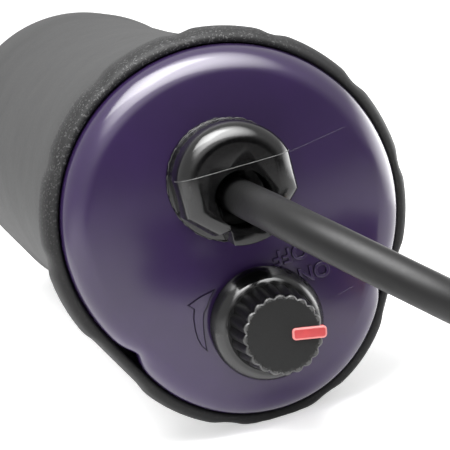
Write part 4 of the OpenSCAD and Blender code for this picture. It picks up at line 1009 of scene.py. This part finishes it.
class HANDPIECE_OT_knob(bpy.types.Operator):
    """Skirted, fluted control knob with its pointer"""

    bl_idname = "handpiece.knob"
    bl_label = "Knob"

    def execute(self, context):
        knob = context.scene.handpiece_knob
        base = Vector((0, KNOB_HIGH.y, KNOB_Z))
        out = Vector((0, -1, 0))
        skirt_r, top_r = knob.skirt_d / 2, knob.top_d / 2
        neck_r, grip_r = top_r + knob.neck, top_r + knob.draft
        tall, skirt = knob.height, knob.skirt_height
        bore, plain, eye, face_z = knob.bore_radius, 3 * MM, 0.8 * MM, tall - 0.14 * MM
        grip_foot, grip_top = skirt + 0.1 * MM, tall - 0.25 * MM
        rows, steps = 6, 400
        profile = [
            (bore, knob.bore_depth), (bore, knob.hollow_depth), (knob.hollow_radius, knob.hollow_depth),
            (knob.hollow_radius, 0), (skirt_r - knob.skirt_edge, 0), (skirt_r, knob.skirt_edge),
            (skirt_r, knob.skirt_lip), (skirt_r - 0.2 * MM, knob.skirt_lip + 0.4 * MM),
            (neck_r + 0.4 * MM, skirt - 0.4 * MM), (neck_r, skirt - 0.1 * MM), (grip_r + 0.2 * MM, skirt),
        ]
        for i in range(rows + 1):
            share = i / rows
            profile.append((grip_r + (top_r - grip_r) * share, grip_foot + (grip_top - grip_foot) * share))
        profile += [
            (top_r - 0.12 * MM, tall - 0.08 * MM), (top_r - 0.3 * MM, tall),
            (top_r - 0.6 * MM, tall - 0.12 * MM), (top_r - 0.8 * MM, face_z),
            (plain, face_z), (eye, face_z),
        ]
        places = [base + Vector((reach, 0, 0)) + out * high for reach, high in profile]
        bm = spun(places, base, out, steps)

        def reach_of(point):
            return math.hypot(point.x, point.z - KNOB_Z)

        for hole in (eye, bore):
            loop = [e for e in bm.edges if e.is_boundary and abs(reach_of(e.verts[0].co) - hole) < 0.01 * MM]
            bmesh.ops.contextual_create(bm, geom=loop)
        fluted_r, rim_r = top_r - 0.9 * MM, top_r - 0.55 * MM
        fluted_z, top_z = skirt + 0.05 * MM, tall - 0.3 * MM
        for vert in bm.verts:
            away = Vector((vert.co.x, 0, vert.co.z - KNOB_Z))
            high = (vert.co - base).dot(out)
            if high > fluted_z and away.length > fluted_r:
                turn = math.atan2(away.z, away.x) * knob.flutes / 2
                vert.co -= away.normalized() * knob.flute_depth * (1 - abs(math.sin(turn)))
        # Painted highlight: the outer ring of the top takes the paler rim finish.
        for face in bm.faces:
            middle = face.calc_center_median()
            high = (middle - base).dot(out)
            if high > top_z:
                face.material_index = 2 if reach_of(middle) > rim_r else 1
            elif high > skirt:
                face.material_index = 3
        materials = [
            black_finish(),
            finish("knob top", knob.top_colour, dim(knob.top_colour, 0.85), 0.62, spread=0.1,
                   drift=200.0, grain=2400.0, depth=0.00001, specular=0.25),
            finish("knob rim painted highlight", knob.rim_highlight_colour, dim(knob.rim_highlight_colour, 0.25), 0.4, spread=0.1,
                   drift=500.0, grain=2400.0, depth=0.00001),
            finish("knob grip", knob.black, dim(knob.black, 0.75), 0.36, spread=0.08,
                   drift=160.0, grain=2000.0, depth=0.000008, specular=0.14),
        ]
        add_piece("knob_moulding", bm, materials, "knob", "gloss_black", "knob_body", sharp=38)

        start, end = knob.pointer_start, top_r + knob.pointer_past
        length, thick = end - start, knob.pointer_thick
        turn = Matrix.Rotation(knob.pointer_angle, 4, "Z")
        stand = Matrix((Vector((1, 0, 0)), Vector((0, 0, 1)), out)).transposed().to_4x4()
        size = Matrix.Diagonal((length, knob.pointer_width, thick, 1))
        lift = Matrix.Translation(((start + end) / 2, 0, tall + knob.pointer_proud - thick / 2))
        bm = bmesh.new()
        bmesh.ops.create_cube(bm, size=1, matrix=Matrix.Translation(base) @ stand @ turn @ lift @ size)
        upright = [e for e in bm.edges if abs((e.verts[0].co - e.verts[1].co).normalized().dot(out)) > 0.99]
        bmesh.ops.bevel(bm, geom=upright, offset=knob.pointer_corner, offset_type="OFFSET", segments=6,
                        profile=0.5, affect="EDGES", material=-1)
        top = max((v.co - base).dot(out) for v in bm.verts)
        rim = [e for e in bm.edges if all((v.co - base).dot(out) > top - MERGE for v in e.verts)]
        soft = bmesh.ops.bevel(bm, geom=rim, offset=knob.pointer_edge, offset_type="OFFSET", segments=3,
                               profile=0.5, affect="EDGES", material=1)
        for face in soft["faces"]:
            face.material_index = 1
        materials = [
            finish("pointer red", knob.red, dim(knob.red, 0.85), 0.42, spread=0.08, drift=400.0),
            finish("pointer edge", knob.pink, dim(knob.pink, 0.9), 0.5, spread=0.08, drift=400.0),
        ]
        add_piece("pointer_bar", bm, materials, "knob", "pointer_red", "knob_pointer", sharp=50)
        return {"FINISHED"}


class HANDPIECE_OT_nose(bpy.types.Operator):
    """Nose cone, its seal and its socket"""

    bl_idname = "handpiece.nose"
    bl_label = "Nose"

    def execute(self, context):
        black = finish("nose phenolic", (0.012, 0.012, 0.0125), (0.009, 0.009, 0.0094), 0.45, spread=0.12,
                       drift=70.0, grain=1300.0, depth=0.00001, specular=0.15)
        add_copy("nose_moulding", "nose_cone", black, "nose_black", bevel=0.6 * MM, segments=3)
        add_copy("seal_ring", "nose_seal", rubber_finish(), "sleeve_rubber", bevel=0.4 * MM, segments=3)
        add_copy("socket_tube", "electrode_socket", brass_finish(), "brass", bevel=0.2 * MM)
        return {"FINISHED"}


class HANDPIECE_OT_plug(bpy.types.Operator):
    """Mains plug and the strap round the cord's hank"""

    bl_idname = "handpiece.plug"
    bl_label = "Plug and strap"

    def execute(self, context):
        soft = finish("plug body", (0.02, 0.02, 0.0205), (0.014, 0.014, 0.0145), 0.48, spread=0.12,
                      drift=90.0, grain=1200.0, depth=0.00002)
        strap = finish("strap weave", (0.012, 0.012, 0.0125), (0.02, 0.02, 0.02), 0.8, spread=0.1,
                       drift=500.0, grain=2500.0, depth=0.00003, threads=600.0)
        plug = add_copy("plug_moulding", "plug_body", soft, "plug_pvc", bevel=0.6 * MM, segments=3)
        tie = add_copy("hank_strap", "cord_tie", strap, "tie_strap", bevel=0.2 * MM)
        plug["cord_piece"] = tie["cord_piece"] = True
        paint(brass_finish(), "plug_pins")
        return {"FINISHED"}


# Cord


def cord_line(cord):
    """The whole centre line of the cord, from the gland to the plug."""
    far_y = cord.near_y - cord.run
    outer = cord.fold + cord.pitch * (2 * cord.loops - 1) / 4
    high, last = cord.base + cord.layer, 2 * cord.loops + 1
    plug_z = (PLUG_LOW.z + PLUG_HIGH.z) / 2
    fold_steps, run_steps, lead_steps = 20, 16, 8

    def reach(k):
        return outer - cord.pitch / 2 * min(k, 2 * cord.loops - k)

    def run_x(k):
        return cord.hank_x + (-reach(k) if k % 2 == 0 else reach(k))

    def fold(i):
        radius, x = (reach(i) + reach(i + 1)) / 2, (run_x(i) + run_x(i + 1)) / 2
        y, z = (far_y if i % 2 == 0 else cord.near_y), (high if i < cord.loops else cord.base)
        start = math.pi if i % 2 == 0 else 0
        turns = [start + math.pi * n / fold_steps for n in range(fold_steps + 1)]
        return [Vector((x + radius * math.cos(a), y + radius * math.sin(a), z)) for a in turns]

    def run(k):
        side, start = (1, cord.near_y) if k % 2 == 0 else (-1, far_y)
        points = []
        for n in range(1, run_steps):
            share = n / run_steps
            z = high if k < cord.loops else cord.base if k > cord.loops else high - cord.layer * ease(share)
            x = run_x(k) + side * cord.waist * (1 - math.cos(2 * math.pi * share)) / 2
            points.append(Vector((x, start - side * cord.run * share, z)))
        return points

    line = [CORD_EXIT, CORD_EXIT - Vector((0, cord.lead_in, 0))] + [Vector(p) * MM for p in FREE_POINTS]
    line.append(Vector((run_x(0), far_y + CORD_D, high)))
    line += fold(0)
    for k in range(1, last):
        line += run(k) + fold(k)
    line += run(last)
    for n in range(lead_steps + 1):
        share = n / lead_steps
        y = cord.near_y + share * (cord.plug_lead - CORD_D)
        line.append(Vector((run_x(last), y, cord.base + (plug_z - cord.base) * ease(share))))
    line.append(Vector((run_x(last), cord.near_y + cord.plug_lead, plug_z)))
    return line


class HANDPIECE_OT_cord(bpy.types.Operator):
    """Mains cord with its hank"""

    bl_idname = "handpiece.cord"
    bl_label = "Cord"

    def execute(self, context):
        line = cord_line(context.scene.handpiece_cord)
        curve = round_curve("mains_cord", CORD_D / 2, 8, True)
        spline = curve.splines.new("BEZIER")
        spline.bezier_points.add(len(line) - 1)
        for point, place in zip(spline.bezier_points, line):
            point.co = place
            point.handle_left_type = point.handle_right_type = "AUTO"
        spline.resolution_u = 3
        spline.use_smooth = True
        curve.materials.append(cord_finish())
        cord = new_object("mains_cord", curve)
        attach(cord, "handpiece")
        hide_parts("power_cord", "cord_hank")
        return {"FINISHED"}


class HANDPIECE_OT_inside(bpy.types.Operator):
    """Finishes of the pieces inside the housing"""

    bl_idname = "handpiece.inside"
    bl_label = "Inside"

    def execute(self, context):
        paint(cord_finish(), "cord_tail")
        paint(brass_finish(), "spindle_bush", "bush_nut", "contact_button")
        paint(finish("housing", (0.03, 0.03, 0.032), (0.022, 0.022, 0.024), 0.5, drift=80.0),
              "housing_left", "housing_right")
        paint(finish("plated steel", (0.6, 0.61, 0.63), (0.5, 0.51, 0.53), 0.3, metallic=1.0,
                     stretch=(1, 8, 1), grain=700.0, depth=0.000004),
              "housing_screws", "cap_screws", "spindle", "retaining_clip", "bush_washer", "control_frame",
              "reed", "reed_clamp", "reed_screws", "yoke_screws")
        paint(finish("soft iron", (0.28, 0.28, 0.29), (0.2, 0.2, 0.21), 0.5, metallic=1.0, spread=0.2),
              "armature", "yoke", "magnet_core")
        paint(finish("contact silver", (0.8, 0.79, 0.76), (0.68, 0.66, 0.62), 0.25, metallic=1.0),
              "fixed_contact", "moving_contact")
        paint(finish("natural nylon", (0.7, 0.66, 0.55), (0.62, 0.58, 0.47), 0.5),
              "contact_carrier", "bobbin", "terminal_block")
        paint(finish("copper wire", (0.55, 0.2, 0.08), (0.45, 0.15, 0.06), 0.3, metallic=0.9,
                     wire_rows=900.0),
              "magnet_winding", "primary_winding", "secondary_winding")
        paint(finish("phenolic board", (0.2, 0.09, 0.035), (0.15, 0.065, 0.025), 0.45, drift=300.0),
              "chassis_board", "cheek_rear", "cheek_front", "coil_former")
        paint(finish("capacitor case", (0.45, 0.3, 0.06), (0.38, 0.25, 0.05), 0.35), "capacitor")
        paint(finish("lead sheath", (0.25, 0.03, 0.02), (0.2, 0.025, 0.018), 0.4),
              "supply_leads", "coil_leads", "hv_lead")
        return {"FINISHED"}


# Stage


def facing(place, target, axis):
    """The matrix of an object at a place whose axis points at a target."""
    aim = Vector(target) - Vector(place)
    return Matrix.Translation(place) @ aim.to_track_quat(axis, "Y").to_matrix().to_4x4()


def sheet(name, half):
    """A flat square mesh from half its side."""
    bm = bmesh.new()
    bmesh.ops.create_grid(bm, x_segments=1, y_segments=1, size=half)
    return mesh_of(name, bm)


def area_light(name, place, target, width, height, power):
    data = bpy.data.lights.new(name, "AREA")
    data.shape = "RECTANGLE"
    data.size, data.size_y = width, height
    data.energy = power
    light = new_object(name, data)
    light.matrix_world = facing(place, target, "-Z")
    light.visible_camera = False


def reflector(name, place, target, width, height, light):
    """A card that only reflections see, full in the middle and clear at its edge."""
    data = sheet(name, 0.5)
    material = bpy.data.materials.new(name)
    material.use_nodes = True
    tree = material.node_tree
    tree.nodes.remove(tree.nodes["Principled BSDF"])
    place_on_card = {"Vector": scaled(tree, object_place(tree), 2.0)}
    fade = shader_node(tree, "TexGradient", place_on_card, "Fac", gradient_type="SPHERICAL")
    clear = shader_node(tree, "BsdfTransparent", {}, "BSDF")
    glow = shader_node(tree, "Emission", {"Strength": light}, "Emission")
    mixed = {"Fac": map_range(tree, fade, 0.0, 0.7), 1: clear, 2: glow}
    surface = shader_node(tree, "MixShader", mixed, "Shader")
    feed(tree, tree.nodes["Material Output"].inputs, {"Surface": surface})
    data.materials.append(material)
    card = new_object(name, data)
    card.matrix_world = facing(place, target, "Z") @ Matrix.Diagonal((width, height, 1, 1))
    card.visible_camera = card.visible_diffuse = card.visible_shadow = False
    card.visible_transmission = False


class HANDPIECE_OT_stage(bpy.types.Operator):
    """Camera, floor and light"""

    bl_idname = "handpiece.stage"
    bl_label = "Stage"

    def execute(self, context):
        settings = context.scene.handpiece_stage
        data = bpy.data.cameras.new("camera")
        camera = new_object("camera", data)
        yaw, pitch, roll = settings.camera_turn
        forward = Vector((math.sin(yaw) * math.cos(pitch), math.cos(yaw) * math.cos(pitch), math.sin(pitch)))
        right = Vector((math.cos(yaw), -math.sin(yaw), 0))
        up = right.cross(forward)
        right, up = (
            math.cos(roll) * right + math.sin(roll) * up,
            math.cos(roll) * up - math.sin(roll) * right,
        )
        turn = Matrix((right, up, -forward)).transposed()
        camera.matrix_world = Matrix.Translation(settings.camera_place) @ turn.to_4x4()
        data.sensor_width = 36
        data.lens = data.sensor_width * settings.focal_share
        data.clip_start = 0.01
        context.scene.camera = camera
        context.scene.render.resolution_x = context.scene.render.resolution_y = settings.picture
        context.scene.view_settings.view_transform = "Standard"

        data = sheet("floor", settings.floor_half)
        paper = finish("floor", settings.floor_colour, settings.floor_colour, 0.9, spread=0.0)
        feed(paper.node_tree, paper.node_tree.nodes["Principled BSDF"].inputs, {
            "Emission Color": (*settings.floor_colour, 1), "Emission Strength": settings.floor_glow})
        data.materials.append(paper)
        floor = new_object("floor", data)

        world = bpy.data.worlds.new("studio")
        context.scene.world = world
        world.use_nodes = True
        tree = world.node_tree
        path = tree.nodes.new("ShaderNodeLightPath").outputs
        seen = math_node(tree, "MAXIMUM", path["Is Camera Ray"], path["Is Glossy Ray"])
        seen = math_node(tree, "MAXIMUM", seen, path["Is Transmission Ray"])
        feed(tree, tree.nodes["Background"].inputs, {
            "Color": (1, 1, 1, 1), "Strength": map_range(tree, seen, 0, 1, settings.fill, 1)})

        key_place = Vector(settings.key_place) + Vector((0, REAR_Y, 0))
        area_light("softbox", key_place, CAP_MIDDLE, settings.key_width, settings.key_depth, settings.key)
        for card in CARDS:
            reflector(*card)
        return {"FINISHED"}


class HANDPIECE_PT_panel(bpy.types.Panel):
    """Lists the pieces of the handpiece"""

    bl_label = "Handpiece"
    bl_idname = "HANDPIECE_PT_panel"
    bl_space_type = "VIEW_3D"
    bl_region_type = "UI"
    bl_category = "Handpiece"

    def draw(self, context):
        for operator in OPERATORS:
            self.layout.operator(operator.bl_idname)


SETTINGS = {
    "handpiece_cap": CapSettings, "handpiece_sleeve": SleeveSettings, "handpiece_gland": GlandSettings,
    "handpiece_knob": KnobSettings, "handpiece_cord": CordSettings, "handpiece_stage": StageSettings,
}
OPERATORS = (
    HANDPIECE_OT_cap, HANDPIECE_OT_markings, HANDPIECE_OT_sleeve, HANDPIECE_OT_gland, HANDPIECE_OT_knob,
    HANDPIECE_OT_nose, HANDPIECE_OT_plug, HANDPIECE_OT_cord, HANDPIECE_OT_inside, HANDPIECE_OT_stage,
)
CLASSES = (*SETTINGS.values(), *OPERATORS, HANDPIECE_PT_panel)


def register():
    for cls in CLASSES:
        bpy.utils.register_class(cls)
    for name, cls in SETTINGS.items():
        setattr(bpy.types.Scene, name, bpy.props.PointerProperty(type=cls))


def unregister():
    for name in SETTINGS:
        delattr(bpy.types.Scene, name)
    for cls in reversed(CLASSES):
        bpy.utils.unregister_class(cls)


def main():
    register()
    bpy.ops.handpiece.cap()
    bpy.ops.handpiece.markings()
    bpy.ops.handpiece.sleeve()
    bpy.ops.handpiece.gland()
    bpy.ops.handpiece.knob()
    bpy.ops.handpiece.nose()
    bpy.ops.handpiece.plug()
    bpy.ops.handpiece.cord()
    bpy.ops.handpiece.inside()
    bpy.ops.handpiece.stage()


if __name__ == "__main__":
    main()
